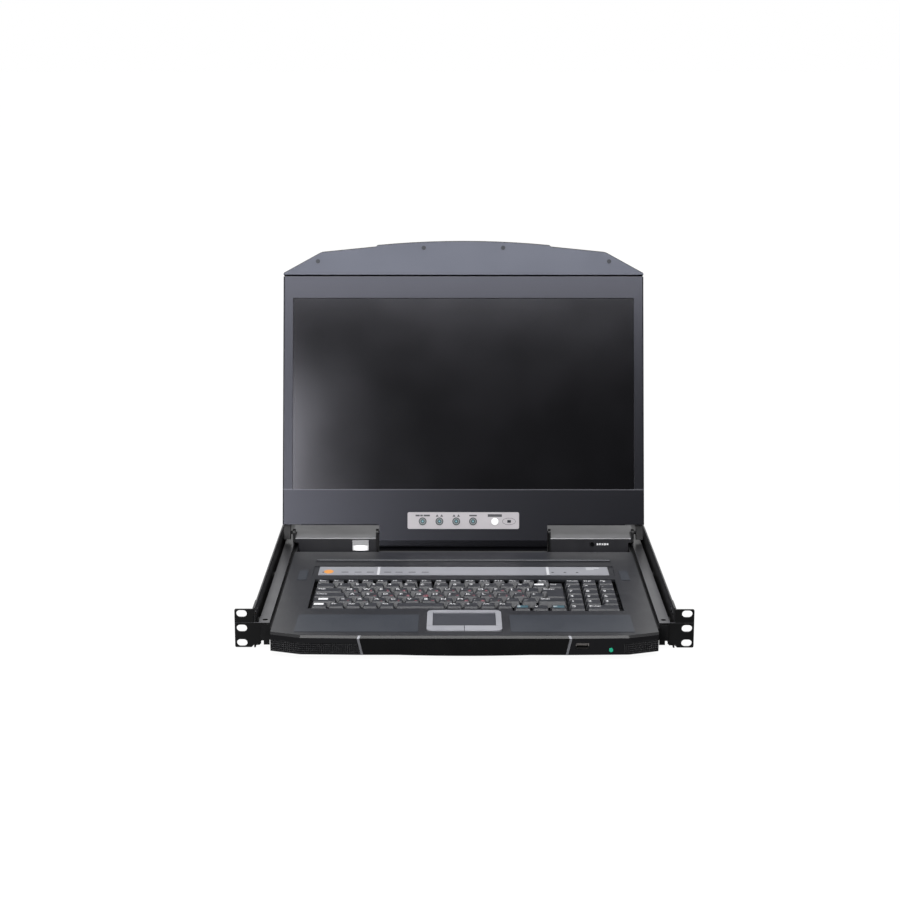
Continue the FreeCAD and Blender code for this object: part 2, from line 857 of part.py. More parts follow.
def main_board():
    """Circuit board on standoffs, with its larger parts."""
    parts = [box("Board_sheet", (-s.board_left, s.board_right), (board_front, board_rear),
                 (board_low, board_top))]
    inset = s.standoff_inset
    middle = (s.board_right - s.board_left) / 2
    for x in (inset - s.board_left, middle, s.board_right - inset):
        for y in (board_front + inset, board_rear - inset - 4):
            parts.append(rod("Standoff", "z", tray_top, board_low, (x, y), s.standoff_radius))
    for x, y, width, depth, height in ((-120, 60, 34, 34, 5), (-60, 70, 20, 14, 2.4), (-160, 90, 22, 10, 9),
                                       (-30, 40, 18, 24, 7), (-90, 108, 40, 8, 6)):
        front = board_front + y
        parts.append(box("Board_part", (x, x + width), (front, front + depth),
                         (board_top, board_top + height)))
    for _, x, width, height in PORTS:
        parts.append(box("Port_foot", around(x, width, -1), (s.case_depth - s.port_depth + 1, board_rear - 1),
                         (board_top, port_z - height / 2)))
    return fuse("Main_board", parts)


def power_supply():
    """Closed supply module on four feet."""
    front, rear = s.case_box_start + s.supply_front_gap, s.case_depth - s.supply_rear_gap
    inset = s.supply_foot
    pieces = [box("Supply_case", (s.supply_left, s.supply_right), (front, rear), (board_low, s.supply_top))]
    for x in (s.supply_left + inset, s.supply_right - inset):
        for y in (front + inset, rear - inset):
            pieces.append(rod("Supply_foot", "z", tray_top, board_low, (x, y), s.standoff_radius))
    return fuse("Power_supply", pieces)


bracket_inner = case_half + s.bracket_gap
bracket_outer = bracket_inner + s.ear_thickness
bracket_y = s.case_depth - s.bracket_lap
bracket_end = s.case_depth + s.bracket_reach


def rear_bracket():
    """Depth-adjusting bracket: slotted arm beside the wall and a rack ear at its end."""
    bracket = new_body("Rear_bracket")
    slot = Slot(((bracket_y + bracket_end) / 2 - 10, dim(0)), s.bracket_slot, s.bracket_slot_width)
    pad(bracket, "Arm", "YZ", [rectangle((bracket_y, bracket_end), (-s.bracket_half, s.bracket_half)), slot],
        bracket_inner, bracket_outer)
    ear = rectangle((bracket_inner, ear_outer), (-s.ear_rise, s.ear_rise))
    pad(bracket, "Rear_ear", "XZ", [ear] + ear_slots(), bracket_end - s.ear_thickness, bracket_end)
    return bracket


def on_side(side, low, high):
    """The two values mirrored to the given side of the middle plane, in rising order."""
    return (low, high) if side > 0 else (-high, -low)


def case_screws():
    """Pan heads inside the walls at the ears, studs for the rear brackets, lid screws."""
    pieces = []
    rise = s.screw_height
    lid_rear = panel_y - s.stud_second + 6.5
    lid_front = s.case_box_start + 12
    for side in (-1, 1):
        for y in (10.5, 21.5):
            face = on_side(side, case_inner - rise, case_inner)
            pieces.append(rod("Wall_screw", "x", *face, (dim(y), dim(14)), s.screw_radius))
        for inset in (s.stud_first, s.stud_second):
            centre = (s.case_depth - inset, dim(0))
            stud_end = bracket_outer + s.rocker_side_gap
            stud = rod("Bracket_stud", "x", *on_side(side, case_half, stud_end), centre, s.stud_radius)
            head = rod("Stud_head", "x", *on_side(side, stud_end, stud_end + s.head_height), centre,
                       s.stud_head)
            pieces.append(fuse("Bracket_screw", [stud, head]))
        for y in (lid_front, (lid_front + lid_rear) / 2, lid_rear):
            x = side * (case_inner - 20)
            pieces.append(rod("Lid_screw", "z", case_top, case_top + rise, (x, y), s.screw_radius))
    return group("Case_screws", pieces)


node(rear_top_cover(), "rear_top_cover")
node(rear_panel(), "rear_panel")
node(power_inlet(), "power_inlet")
node(power_rocker(), "power_rocker")
node(rear_ports(), "rear_ports")
node(main_board(), "main_board")
node(power_supply(), "power_supply")
both_sides(rear_bracket(), "rear_bracket")
node(case_screws(), "case_screws")

# ---------------------------------------------------------------- telescopic slides


def channel_section(back, front, low, high):
    """C section: web at back, two flanges that reach to front."""
    wall = s.slide_sheet if back > front else -s.slide_sheet
    return [
        (back, low), (back, high), (front, high), (front, high - s.slide_sheet),
        (back - wall, high - s.slide_sheet), (back - wall, low + s.slide_sheet),
        (front, low + s.slide_sheet), (front, low),
    ]


nest = s.slide_sheet + s.slide_gap
outer_low = s.slide_top - s.slide_height
slide_end = s.slide_start + s.slide_length


def slide_member(name, step, back, front, start, end):
    """One member of the nested slide; each step inwards loses a sheet and a running gap."""
    member = new_body(name)
    section = channel_section(back, front, outer_low + nest * step, s.slide_top - nest * step)
    pad(member, name + "_section", "XZ", [section], start, end)
    return member


outer_front = drawer_half + s.slide_lip_gap
outer_member = slide_member("Slide_outer", 0, rail_web, outer_front, s.slide_start, slide_end + 10)
inner_front = -s.slide_plate_gap
node(group("Slide_outer_pair", [outer_member, mirror("Slide_outer_left", outer_member)]),
     "slide_outer_members")
middle_member = slide_member("Slide_middle", 1, rail_web - nest, outer_front - 1, s.slide_start, slide_end)
both_sides(middle_member, "slide_middle")
inner_member = slide_member("Slide_inner", 2, drawer_half, rail_web - nest * 2 - s.slide_gap,
                            inner_front, slide_end - s.slide_rear_gap)
plate_right = rail_web - s.slide_gap / 2
plate_low, plate_high = outer_low + nest * 2, s.slide_top - nest * 2
front_plate = [
    (drawer_half, plate_low), (rail_edge, plate_low), (rail_edge, -s.rail_drop),
    (rail_web - 3.7, -s.rail_drop),
    (rail_web - 3.7, 4.6 - s.rail_drop), (rail_web - 0.9, 4.6 - s.rail_drop),
    (rail_web - 0.9, 1 - s.rail_drop),
    (plate_right, 1 - s.rail_drop), (plate_right, s.slide_top), (rail_edge, s.slide_top),
    (rail_edge, plate_high), (drawer_half, plate_high),
]
pad(inner_member, "Front_plate", "XZ", [front_plate], inner_front - s.sheet, inner_front)
node(group("Slide_inner_pair", [inner_member, mirror("Slide_inner_left", inner_member)]),
     "slide_inner_members")

# ---------------------------------------------------------------- drawer

deck_low = s.deck_top - s.deck_sheet
bezel_low = -s.bezel_drop
tray_floor = s.tray_sheet - s.tray_low
pad_front = s.key_front - s.pad_shift
arrow_left = s.key_left - s.control_width - s.key_pitch * 8 - s.space_width
arrow_right = 3 * s.arrow_width - arrow_left
pad_left = arrow_right + 1.2
pad_right = pad_left + 3 * s.pad_pitch
keys_rear = s.key_front + 5 * s.key_pitch + s.function_depth


def front_edge(inset):
    """The front of the deck from the left corner to the right one, moved forward by -inset."""
    return [
        (-drawer_half, inset - s.deck_corner_y), (-s.deck_corner_x, inset - s.deck_front + 2),
        (-s.handle_half, inset - s.deck_front), (s.handle_half, inset - s.deck_front),
        (s.deck_corner_x, inset - s.deck_front + 2), (drawer_half, inset - s.deck_corner_y),
    ]


def deck_line(x):
    """How far forward the deck's front edge lies at this distance from the middle."""
    corners = [(point[0].number, dim(point[1]).number) for point in front_edge(dim(0))[3:]]
    (x0, y0), (x1, y1) = corners[:2] if abs(x) < corners[1][0] else corners[1:]
    return y0 + (y1 - y0) * (abs(x) - x0) / (x1 - x0)


def keyboard_opening(margin):
    """The well around the keys, with its step forward at the arrow keys and number pad."""
    return [
        (-s.key_left - margin, s.key_front - margin), (-arrow_left - margin, s.key_front - margin),
        (-arrow_left - margin, pad_front - margin), (pad_right + margin, pad_front - margin),
        (pad_right + margin, keys_rear + margin), (-s.key_left - margin, keys_rear + margin),
    ]


def touch_opening(gap):
    half = s.touch_half + gap
    return rectangle((-half, half), (s.touch_front - gap, s.touch_rear + gap))


def drawer_tray():
    """Folded tray that carries the deck, the slides' inner members and the hinges."""
    tray = new_body("Drawer_tray")
    wall = drawer_half - s.tray_sheet
    section = [
        (-drawer_half, -s.tray_low), (drawer_half, -s.tray_low), (drawer_half, deck_low),
        (wall, deck_low), (wall, tray_floor), (-wall, tray_floor), (-wall, deck_low),
        (-drawer_half, deck_low),
    ]
    pad(tray, "Tray_section", "XZ", [section], -s.deck_corner_y + 6, s.tray_end)
    pad(tray, "Tray_rear", "XZ", [rectangle((-wall, wall), (tray_floor, -s.well_floor - s.deck_sheet))],
        s.tray_end - s.tray_sheet, s.tray_end)
    pocket(tray, "Rear_side_relief", "YZ",
           [rectangle((s.side_relief, s.tray_end + 1), (-s.well_floor, deck_low + 1))],
           -drawer_half - 1, drawer_half + 1)
    return tray


def deck_cover():
    """Top shell with its openings, a groove, the indicator strip's recess, and the well behind the deck."""
    deck = new_body("Deck_cover")
    top = front_edge(dim(0)) + [(drawer_half, s.deck_rear), (-drawer_half, s.deck_rear)]
    openings = [keyboard_opening(s.well_margin), touch_opening(s.touch_fit)]
    pad(deck, "Deck_top", "XY", [top] + openings, deck_low, s.deck_top)
    inner = drawer_half - s.tray_sheet - 0.3
    pad(deck, "Rear_step", "XY", [rectangle((-inner, inner), (s.deck_rear - s.deck_sheet, s.deck_rear))],
        -s.well_floor - s.deck_sheet, deck_low)
    pad(deck, "Well_floor", "XY", [rectangle((-inner, inner), (s.deck_rear, s.tray_end))],
        -s.well_floor - s.deck_sheet, -s.well_floor)
    groove = rectangle((-s.groove_half, s.groove_half), (s.groove_front, s.groove_rear))
    pocket(deck, "Deck_groove", "XY", [groove], s.deck_top - s.groove_depth, s.deck_top)
    half = s.strip_half + s.strip_side_gap
    recess = rectangle((-half, half), (s.strip_front - s.strip_front_gap, s.strip_rear + s.strip_rear_gap))
    pocket(deck, "Strip_recess", "XY", [recess], s.deck_top - s.strip_recess, s.deck_top)
    soften(deck, "Rear_edge", "Fillet", dim(1.5),
           lambda p, d: abs(d.x) > 0.9 and p.z > s.deck_top.number - 0.1 and p.y > s.deck_rear.number - 0.1)
    return deck


def on_hand(side, outline):
    """The outline, or its mirror image for the left hand."""
    return outline if side > 0 else [(-u, v) for u, v in reversed(outline)]


def bezel(side):
    """One half of the front bezel, from its trim strip to the drawer's side, with a bevelled top edge."""
    part = new_body("Bezel_%s" % ("right" if side > 0 else "left"))
    reach = s.bezel_reach
    inner = s.handle_half + s.trim_width
    foot = inner - s.trim_lean
    plan = [
        (foot, -s.deck_front), (inner, -s.deck_front), (s.deck_corner_x, 2 - s.deck_front),
        (drawer_half, -s.deck_corner_y), (drawer_half, -s.deck_corner_y - reach),
        (s.deck_corner_x - 1, 1.6 - s.deck_front - reach), (inner, -s.deck_front - reach),
        (foot, -s.deck_front - reach),
    ]
    back = [
        (foot, -s.deck_front), (inner, -s.deck_front), (s.deck_corner_x, 2 - s.deck_front),
        (drawer_half, -s.deck_corner_y), (drawer_half, s.bezel_depth - s.deck_corner_y - 3),
        (s.deck_corner_x, s.bezel_depth + 2 - s.deck_front), (foot, s.bezel_depth - s.deck_front),
    ]
    joint = [
        (foot - 1, bezel_low - 1), (foot, bezel_low - 1), (foot, bezel_low), (inner, deck_low),
        (inner - s.trim_turn, s.deck_top), (inner - s.trim_turn, s.deck_top + 1), (foot - 1, s.deck_top + 1),
    ]
    pad(part, "Bezel_back", "XY", [on_hand(side, back)], bezel_low, deck_low)
    pad(part, "Bezel_face", "XY", [on_hand(side, plan)], bezel_low, s.deck_top)
    soften(part, "Top_bevel", "Chamfer", s.bezel_bevel,
           lambda p, d: p.z > s.deck_top.number - 0.1 and abs(d.x) > 0.4
           and p.y < deck_line(p.x) - reach.number / 2)
    pocket(part, "Trim_joint", "XZ", [on_hand(side, joint)], -s.deck_front - reach - 1,
           s.bezel_depth - s.deck_front + 1)
    return part


def right_bezel():
    """Bezel half with the openings for the USB socket and the power light."""
    part = bezel(1)
    front = -s.deck_front - s.bezel_reach - 1
    back = s.bezel_depth - s.deck_front + 1
    hole = rectangle((s.usb_x - s.usb_width / 2 - 0.3, s.usb_x + s.usb_width / 2 + 0.3),
                     (s.usb_z - s.usb_height / 2 - 0.3, s.usb_z + s.usb_height / 2 + 0.3))
    pocket(part, "Usb_opening", "XZ", [hole], front, back)
    pocket(part, "Led_opening", "XZ", [Disc((s.led_x, s.led_z), s.led_radius + 0.1)], front, back + 2)
    return part


def centre_handle():
    """Pull between the trims, narrower at the foot and a little lower in the middle."""
    handle = new_body("Centre_handle")
    depth = s.bezel_depth - s.deck_front
    face = -s.deck_front - s.bezel_reach
    half = s.handle_half
    foot = half - s.trim_lean
    top = half - s.trim_turn
    reach = half - s.handle_flat
    bulge = (reach * reach + s.handle_bulge * s.handle_bulge) / (2 * s.handle_bulge)
    section = [
        (-half, deck_low), (-foot, bezel_low), (-reach, bezel_low, bulge), (reach, bezel_low),
        (foot, bezel_low), (half, deck_low),
    ]
    pad(handle, "Handle_back", "XZ", [section], face, depth)
    lip = [(-half, deck_low), (half, deck_low), (top, s.deck_top), (-top, s.deck_top)]
    pad(handle, "Handle_lip", "XZ", [lip], face, -s.deck_front)
    soften(handle, "Handle_edge", "Chamfer", s.bezel_bevel,
           lambda p, d: abs(d.x) > 0.9 and p.z > s.deck_top.number - 0.1 and p.y < face.number + 0.1)
    return handle


def trim_strips():
    """Bent strips that close the joints between the handle and the bezel halves."""
    face = -s.deck_front - s.bezel_reach - s.trim_rise
    strip = new_body("Trim_right")
    spine = [
        (s.handle_half - s.trim_turn, s.deck_top), (s.handle_half, deck_low),
        (s.handle_half - s.trim_lean, bezel_low),
    ]
    outline = spine + [(x + s.trim_width, z) for x, z in reversed(spine)]
    pad(strip, "Strip", "XZ", [outline], face, -s.deck_front)
    soften(strip, "Strip_bevel", "Chamfer", s.bezel_bevel,
           lambda p, d: abs(d.x) > 0.9 and p.z > s.deck_top.number - 0.1 and p.y < face.number + 0.1)
    return group("Trim_strips", [strip, mirror("Trim_left", strip)])


node(drawer_tray(), "drawer_tray")
node(deck_cover(), "deck_cover")
node(bezel(-1), "left_bezel")
node(right_bezel(), "right_bezel")
node(centre_handle(), "centre_handle")
node(trim_strips(), "trim_strips")

# ---------------------------------------------------------------- keyboard

key_low = s.key_top - s.key_skirt
guide_top = key_low - s.key_travel - 0.4
guide_low = guide_top - s.guide_sheet


def key(x, y):
    """Tapered cap over a square stem; x and y give the slot that the key fills."""
    edge = s.key_gap / 2
    cap = doc.addObject("Part::Wedge", "Cap")
    cap.Placement = FreeCAD.Placement(V(), FreeCAD.Rotation(V(1, 0, 0), 90))
    low_x, high_x = x[0] + edge, x[1] - edge
    low_y, high_y = y[0] + edge, y[1] - edge
    for prop, value in (
            ("Xmin", low_x), ("Xmax", high_x), ("Ymin", key_low), ("Ymax", s.key_top),
            ("Zmin", -high_y), ("Zmax", -low_y),
            ("X2min", low_x + s.key_side_bevel), ("X2max", high_x - s.key_side_bevel),
            ("Z2min", s.key_rear_bevel - high_y), ("Z2max", -low_y - s.key_front_bevel)):
        bind(cap, prop, value)
    centre_x, centre_y = (x[0] + x[1]) / 2, (y[0] + y[1]) / 2
    half = s.key_stem / 2
    stem = box("Stem", (centre_x - half, centre_x + half), (centre_y - half, centre_y + half),
               (guide_low, key_low))
    STEMS.append((centre_x, centre_y))
    return [cap, stem]


STEMS = []


def key_row(left, front, widths, depth):
    """Keys side by side from the left."""
    pieces = []
    x = left
    for width in widths:
        pieces += key((x, x + width), (front, front + depth))
        x = x + width
    return pieces


def row_front(number):
    """Front edge of a main row, counted from the one nearest the user."""
    return s.key_front + s.key_pitch * number


unit = s.key_pitch
keys_left = -s.key_left
row_width = s.key_left + s.key_right
modifiers = key_row(keys_left, row_front(0), [s.control_width] + [unit] * 4, unit)
modifiers += key_row(s.space_width + s.control_width + unit * 4 - s.key_left, row_front(0), [unit] * 4, unit)
modifiers += key_row(-arrow_left, pad_front, [s.arrow_width] * 3, unit)
space = key_row(s.control_width + unit * 4 - s.key_left, row_front(0), [s.space_width], unit)
lower_letters = key_row(keys_left, row_front(1),
                        [s.shift_width] + [unit] * 12 + [row_width - s.shift_width - unit * 12], unit)
home_letters = key_row(keys_left, row_front(2), [s.caps_width] + [unit] * 12, unit)
home_letters += key((s.caps_width + unit * 12 - s.key_left, s.key_right), (row_front(2), row_front(4)))
home_letters += key((s.tab_width + unit * 12 - s.key_left, s.key_right), (row_front(3), row_front(4)))[:1]
top_letters = key_row(keys_left, row_front(3), [s.tab_width] + [unit] * 12, unit)
digits = key_row(keys_left, row_front(4), [s.digit_first] + [unit] * 14, unit)
functions = key_row(keys_left, row_front(5), [s.function_pitch] * 16, s.function_depth)
pad_row = (keys_rear - pad_front) / 6
number_pad = key_row(pad_left, pad_front, [s.pad_pitch, s.pad_pitch * 2], pad_row)
for line in range(1, 6):
    number_pad += key_row(pad_left, pad_front + pad_row * line, [s.pad_pitch] * 3, pad_row)


def guide_plate():
    """Plate with a square hole for every stem, and a rim up to the deck."""
    tub = new_body("Guide_tub")
    rim = keyboard_opening(s.well_margin + s.guide_rim)
    pad(tub, "Guide_sheet", "XY", [rim], guide_low, guide_top)
    pad(tub, "Guide_rim", "XY", [rim, keyboard_opening(s.well_margin)], guide_top, deck_low)
    half = s.key_stem / 2 + 0.3
    holes = [box("Stem_hole", (x - half, x + half), (y - half, y + half), (guide_low - 1, guide_top + 1))
             for x, y in STEMS]
    return cut("Key_guide_plate", tub, holes)


def indicator_strip():
    """Silver strip behind the keys, in its recess."""
    strip = new_body("Indicator_strip")
    outline = rectangle((-s.strip_half, s.strip_half), (s.strip_front, s.strip_rear))
    floor = s.deck_top - s.strip_recess
    pad(strip, "Strip_plate", "XY", [outline], floor, floor + s.strip_recess + s.strip_rise / 3)
    return strip


for label, pieces in (("function_keys", functions), ("digit_keys", digits), ("top_letter_keys", top_letters),
                      ("home_letter_keys", home_letters), ("lower_letter_keys", lower_letters),
                      ("modifier_and_arrow_keys", modifiers), ("space_bar", space),
                      ("number_pad_keys", number_pad)):
    node(fuse(label.title(), pieces), label)
node(guide_plate(), "key_guide_plate")
node(indicator_strip(), "indicator_strip")

# ---------------------------------------------------------------- touchpad, deck patches, bezel fittings

carrier_low = deck_low - 1.5
click_rear = s.window_front - s.click_gap


def touchpad():
    """Carrier under the deck with the raised touch surface and holes for the button stems."""
    part = new_body("Touchpad")
    pad(part, "Carrier", "XY", [touch_opening(dim(5))], carrier_low, deck_low)
    surface = rectangle((s.touch_fit - s.window_half, s.window_half - s.touch_fit),
                        (s.window_front + s.touch_fit, s.window_rear - s.touch_fit))
    pad(part, "Touch_surface", "XY", [surface], deck_low, s.deck_top - 0.4)
    holes = [Disc((side * s.touch_half / 2, (s.touch_front + click_rear) / 2), 2.3) for side in (-1, 1)]
    pocket(part, "Stem_holes", "XY", holes, carrier_low - 1, deck_low + 1)
    return part


def touchpad_frame():
    """Frame round the touch surface, open at the front where the buttons are."""
    frame = new_body("Touchpad_frame")
    half, window = s.touch_half, s.window_half
    outline = [
        (-half, s.window_front), (-window, s.window_front), (-window, s.window_rear), (window, s.window_rear),
        (window, s.window_front), (half, s.window_front), (half, s.touch_rear), (-half, s.touch_rear),
    ]
    pad(frame, "Frame_ring", "XY", [outline], deck_low, s.deck_top + s.touch_rise)
    soften(frame, "Frame_corners", "Fillet", s.touch_corner,
           lambda p, d: abs(d.z) > 0.9 and p.y > s.touch_rear.number - 0.1)
    return frame


def click_button(side):
    """Button below the touch surface, with a stem through the carrier."""
    part = new_body("Click_button_%s" % ("right" if side > 0 else "left"))
    inner = side * s.click_gap
    outer = side * s.touch_half
    across = (inner, outer) if side > 0 else (outer, inner)
    pad(part, "Button_cap", "XY", [rectangle(across, (s.touch_front, click_rear))],
        deck_low + s.click_travel + 0.3, s.deck_top + s.touch_rise)
    soften(part, "Button_corner", "Fillet", s.touch_corner,
           lambda p, d: abs(d.z) > 0.9 and p.y < s.touch_front.number + 0.1
           and abs(p.x) > s.touch_half.number - 0.1)
    pad(part, "Button_stem", "XY", [Disc((side * s.touch_half / 2, (s.touch_front + click_rear) / 2), 2.0)],
        carrier_low, deck_low + s.click_travel + 0.3)
    return part


def deck_patches():
    """Two palm-rest panels and two bumper pads stuck on the deck."""
    patches = new_body("Deck_patches")
    top = s.deck_top + s.patch_rise
    half = s.bumper_width / 2
    reach = s.bumper_length / 2
    outlines = []
    for side in (-1, 1):
        palm = sorted((side * s.palm_inner, side * s.palm_outer), key=lambda value: value.number)
        middle = side * (drawer_half - s.bumper_inset)
        outlines.append(rectangle(palm, (s.palm_front, s.palm_rear)))
        outlines.append(rectangle((middle - half, middle + half), (s.bumper_y - reach, s.bumper_y + reach)))
    pad(patches, "Patches", "XY", outlines, s.deck_top, top)
    return patches


def usb_port():
    """Socket shell with its tongue, set in the right bezel."""
    front = -s.deck_front - s.bezel_reach + 1
    back = front + 12
    across = (s.usb_x - s.usb_width / 2, s.usb_x + s.usb_width / 2)
    height = (s.usb_z - s.usb_height / 2, s.usb_z + s.usb_height / 2)
    shell = box("Usb_shell", across, (front, back), height)
    wall = 0.6
    mouth = box("Usb_mouth", (across[0] + wall, across[1] - wall), (front - 1, back - 1),
                (height[0] + wall, height[1] - wall))
    tongue = box("Usb_tongue", (across[0] + 1.4, across[1] - 1.4), (front + 1.5, back - 0.5),
                 (s.usb_z + 0.2, s.usb_z + 1.6))
    return fuse("Usb_port", [cut("Usb_shell_open", shell, [mouth]), tongue])


def power_led():
    face = -s.deck_front - s.bezel_reach
    return rod("Power_led", "y", face - 0.2, s.bezel_depth - s.deck_front - 1, (s.led_x, s.led_z),
               s.led_radius)


node(touchpad(), "touchpad")
node(touchpad_frame(), "touchpad_frame")
node(click_button(-1), "left_click_button")
node(click_button(1), "right_click_button")
node(deck_patches(), "deck_patches")
node(usb_port(), "usb_port")
node(power_led(), "power_light")

# ---------------------------------------------------------------- hinge housings, leaves, lamp


housing_outer = drawer_half + s.housing_overhang
lid_inner = s.housing_inner - s.housing_lid_inward
lid_outer = housing_outer + s.housing_lid_outward
shelf_low = s.rail_top + 0.8


def housing(name):
    """Right-hand hinge housing: closed box with a lid that widens towards the back."""
    part = new_body(name)
    pad(part, "Housing_box", "XY",
        [rectangle((s.housing_inner, housing_outer - s.housing_box_inset),
                   (s.housing_front, s.housing_rear))],
        -s.well_floor, s.housing_top)
    shelf = rectangle((s.housing_inner, housing_outer), (s.housing_front, s.housing_rear))
    pad(part, "Housing_shelf", "XY", [shelf], shelf_low, s.housing_top)
    lid = rectangle((lid_inner, lid_outer), (s.housing_step, s.housing_rear))
    pad(part, "Housing_lid", "XY", [lid], s.housing_top - s.housing_lid, s.housing_top)
    soften(part, "Lid_front_edge", "Chamfer", dim(0.8),
           lambda p, d: abs(d.x) > 0.9 and p.z > s.housing_top.number - 0.1
           and p.y < s.housing_front.number + 0.1)
    return part


def right_housing():
    part = housing("Right_housing")
    pocket(part, "Button_bore", "XZ", [Disc((s.lamp_button_x, s.lamp_button_z), s.lamp_button_radius + 0.2)],
           s.housing_front - 1, s.housing_front + 8)
    return part


def hinge_leaf(name, x, low):
    """Upright leaf with a round eye for the hinge pin."""
    leaf = new_body(name)
    radius = s.leaf_radius
    outline = [
        (s.housing_front + 0.6, low), (s.housing_step - 1, low),
        (s.housing_step - 1, s.housing_top - s.housing_lid - 1),
        (s.hinge_y + radius, s.hinge_z, "round"), (s.hinge_y - radius, s.hinge_z),
        (s.housing_front + 0.6, s.housing_top - 1),
    ]
    pad(leaf, name + "_sheet", "YZ", [outline, Disc((s.hinge_y, s.hinge_z), s.pin_radius + s.pin_fit)],
        x, x + s.leaf_sheet)
    return leaf


def hinge_leaves():
    inner = hinge_leaf("Leaf_inner", s.housing_inner - s.leaf_sheet, -s.well_floor)
    outer = hinge_leaf("Leaf_outer", housing_outer, shelf_low)
    return group("Hinge_leaves", [inner, outer, mirror("Leaf_inner_left", inner),
                                  mirror("Leaf_outer_left", outer)])


def work_lamp():
    """Lamp that stands proud of the left housing's front face."""
    half = s.lamp_width / 2
    front = s.housing_front - s.lamp_reach
    lamp = new_body("Work_lamp")
    profile = [
        (front + 1.6, s.lamp_low), (s.housing_front, s.lamp_low), (s.housing_front, s.lamp_high),
        (front, s.lamp_high),
    ]
    pad(lamp, "Lamp_block", "YZ", [profile], s.lamp_x - half, s.lamp_x + half)
    return lamp


def lamp_button():
    return rod("Lamp_button", "y", s.housing_front - s.lamp_button_reach, s.housing_front + 6,
               (s.lamp_button_x, s.lamp_button_z), s.lamp_button_radius)


def drawer_screws():
    """Screws that hold the deck from below and the slide members from inside."""
    pieces = []
    for side in (-1, 1):
        for y in (60, 180, 300):
            inside = drawer_half - s.tray_sheet
            face = on_side(side, inside - s.screw_height, inside)
            pieces.append(rod("Slide_screw", "x", *face, (dim(y), dim(-6)), s.screw_radius))
        for y in (30, 230, 370):
            place = (side * dim(140), dim(y))
            pieces.append(rod("Tray_screw", "z", -s.tray_low - s.screw_height, -s.tray_low, place,
                              s.screw_radius))
    return group("Drawer_screws", pieces)


node(mirror("Left_housing", housing("Left_housing_source")), "left_hinge_housing")
node(right_housing(), "right_hinge_housing")
node(hinge_leaves(), "hinge_leaves")
node(work_lamp(), "work_lamp")
node(lamp_button(), "lamp_button")
node(drawer_screws(), "drawer_screws")

# ---------------------------------------------------------------- LCD module
# Its pieces are drawn flat: across X, up from the hinge axis along Y, out of the screen along Z.


def hang(obj):
    """Stands a flat-drawn piece on the hinge axis, leaning back."""
    obj.Placement = FreeCAD.Placement(V(), FreeCAD.Rotation(V(1, 0, 0), 75))
    bind(obj, "Placement.Rotation.Angle", 90 - s.recline)
    bind(obj, "Placement.Base.y", s.hinge_y)
    bind(obj, "Placement.Base.z", s.hinge_z)
    return obj


screen_low = s.screen_centre - s.screen_height / 2
screen_high = s.screen_centre + s.screen_height / 2
lcd_half = case_half - s.lcd_inset
screen_half = lcd_half - s.screen_margin
tongue_half = s.housing_inner - s.tongue_gap
arm_outer = lcd_half - s.arm_inset
arm_inner = housing_outer + s.arm_gap
panel_low = s.lcd_face - s.screen_recess - 5
seam_low = s.lcd_seam - s.lcd_seam_gap / 2
seam_high = s.lcd_seam + s.lcd_seam_gap / 2
handle_face = s.lcd_face - s.handle_drop
handle_back = handle_face - s.handle_plate


def osd_holes(gap):
    places = [s.osd_first + s.osd_pitch * number for number in range(4)] + [s.osd_power]
    return [Disc((x, s.osd_row), s.osd_button_radius + gap) for x in places]


def lcd_bezel():
    """Front shell: frame round the screen, rim at the back of the frame and tongue over the hinge line."""
    shell = new_body("Lcd_bezel")
    half = lcd_half
    outline = [
        (-half, s.lcd_low), (-tongue_half, s.lcd_low), (-tongue_half, -s.tongue_drop),
        (tongue_half, -s.tongue_drop), (tongue_half, s.lcd_low), (half, s.lcd_low),
        (half, seam_low), (-half, seam_low),
    ]
    window = rectangle((-screen_half, screen_half), (screen_low, screen_high))
    front_low = s.lcd_face - s.lcd_wall
    pad(shell, "Front_face", "XY", [outline, window], front_low, s.lcd_face)
    inner = rectangle((s.lcd_wall - half, half - s.lcd_wall), (s.lcd_low + s.lcd_wall, seam_low - s.lcd_wall))
    outer = rectangle((-half, half), (s.lcd_low, seam_low))
    pad(shell, "Rim", "XY", [outer, inner], s.lcd_split, front_low)
    tongue = rectangle((-tongue_half, tongue_half), (-s.tongue_drop, s.lcd_low))
    pad(shell, "Tongue", "XY", [tongue], s.lcd_face - s.tongue_thickness, front_low)
    pocket(shell, "Button_holes", "XY", osd_holes(s.osd_button_fit), front_low - 8, s.lcd_face + 1)
    soften(shell, "Front_edges", "Fillet", s.lcd_edge,
           lambda p, d: p.z > s.lcd_face.number - 0.1 and abs(p.x) > half.number - 0.1)
    soften(shell, "Tongue_lip", "Fillet", s.tongue_round,
           lambda p, d: p.z > s.lcd_face.number - 0.1 and p.y < 0.1 - s.tongue_drop.number)
    return hang(shell)


def crown(low, rise):
    """Outline of the upper end: sloped shoulders, a small step and a gently arched middle."""
    corner = lcd_half - s.lcd_corner_inset
    step_top = s.lcd_step + s.lcd_step_rise
    height = s.lcd_apex - step_top
    chord = s.lcd_step_half
    arch = (chord * chord + height * height) / (2 * height)
    return [
        (-lcd_half, low), (lcd_half, low), (lcd_half, s.lcd_shoulder + rise), (corner, s.lcd_corner + rise),
        (chord + s.lcd_step_rise, s.lcd_step + rise), (chord, step_top + rise, arch),
        (-chord, step_top + rise),
        (-chord - s.lcd_step_rise, s.lcd_step + rise), (-corner, s.lcd_corner + rise),
        (-lcd_half, s.lcd_shoulder + rise),
    ]


def bend_shoulders(part, rise):
    """Rounds the corners between the sloped shoulders and the top."""
    corner = (lcd_half - s.lcd_corner_inset).number
    level = (s.lcd_corner + rise).number
    soften(part, "Shoulder_bends", "Fillet", s.lcd_bend,
           lambda p, d: abs(d.z) > 0.9 and abs(abs(p.x) - corner) < 0.1 and abs(p.y - level) < 0.1)


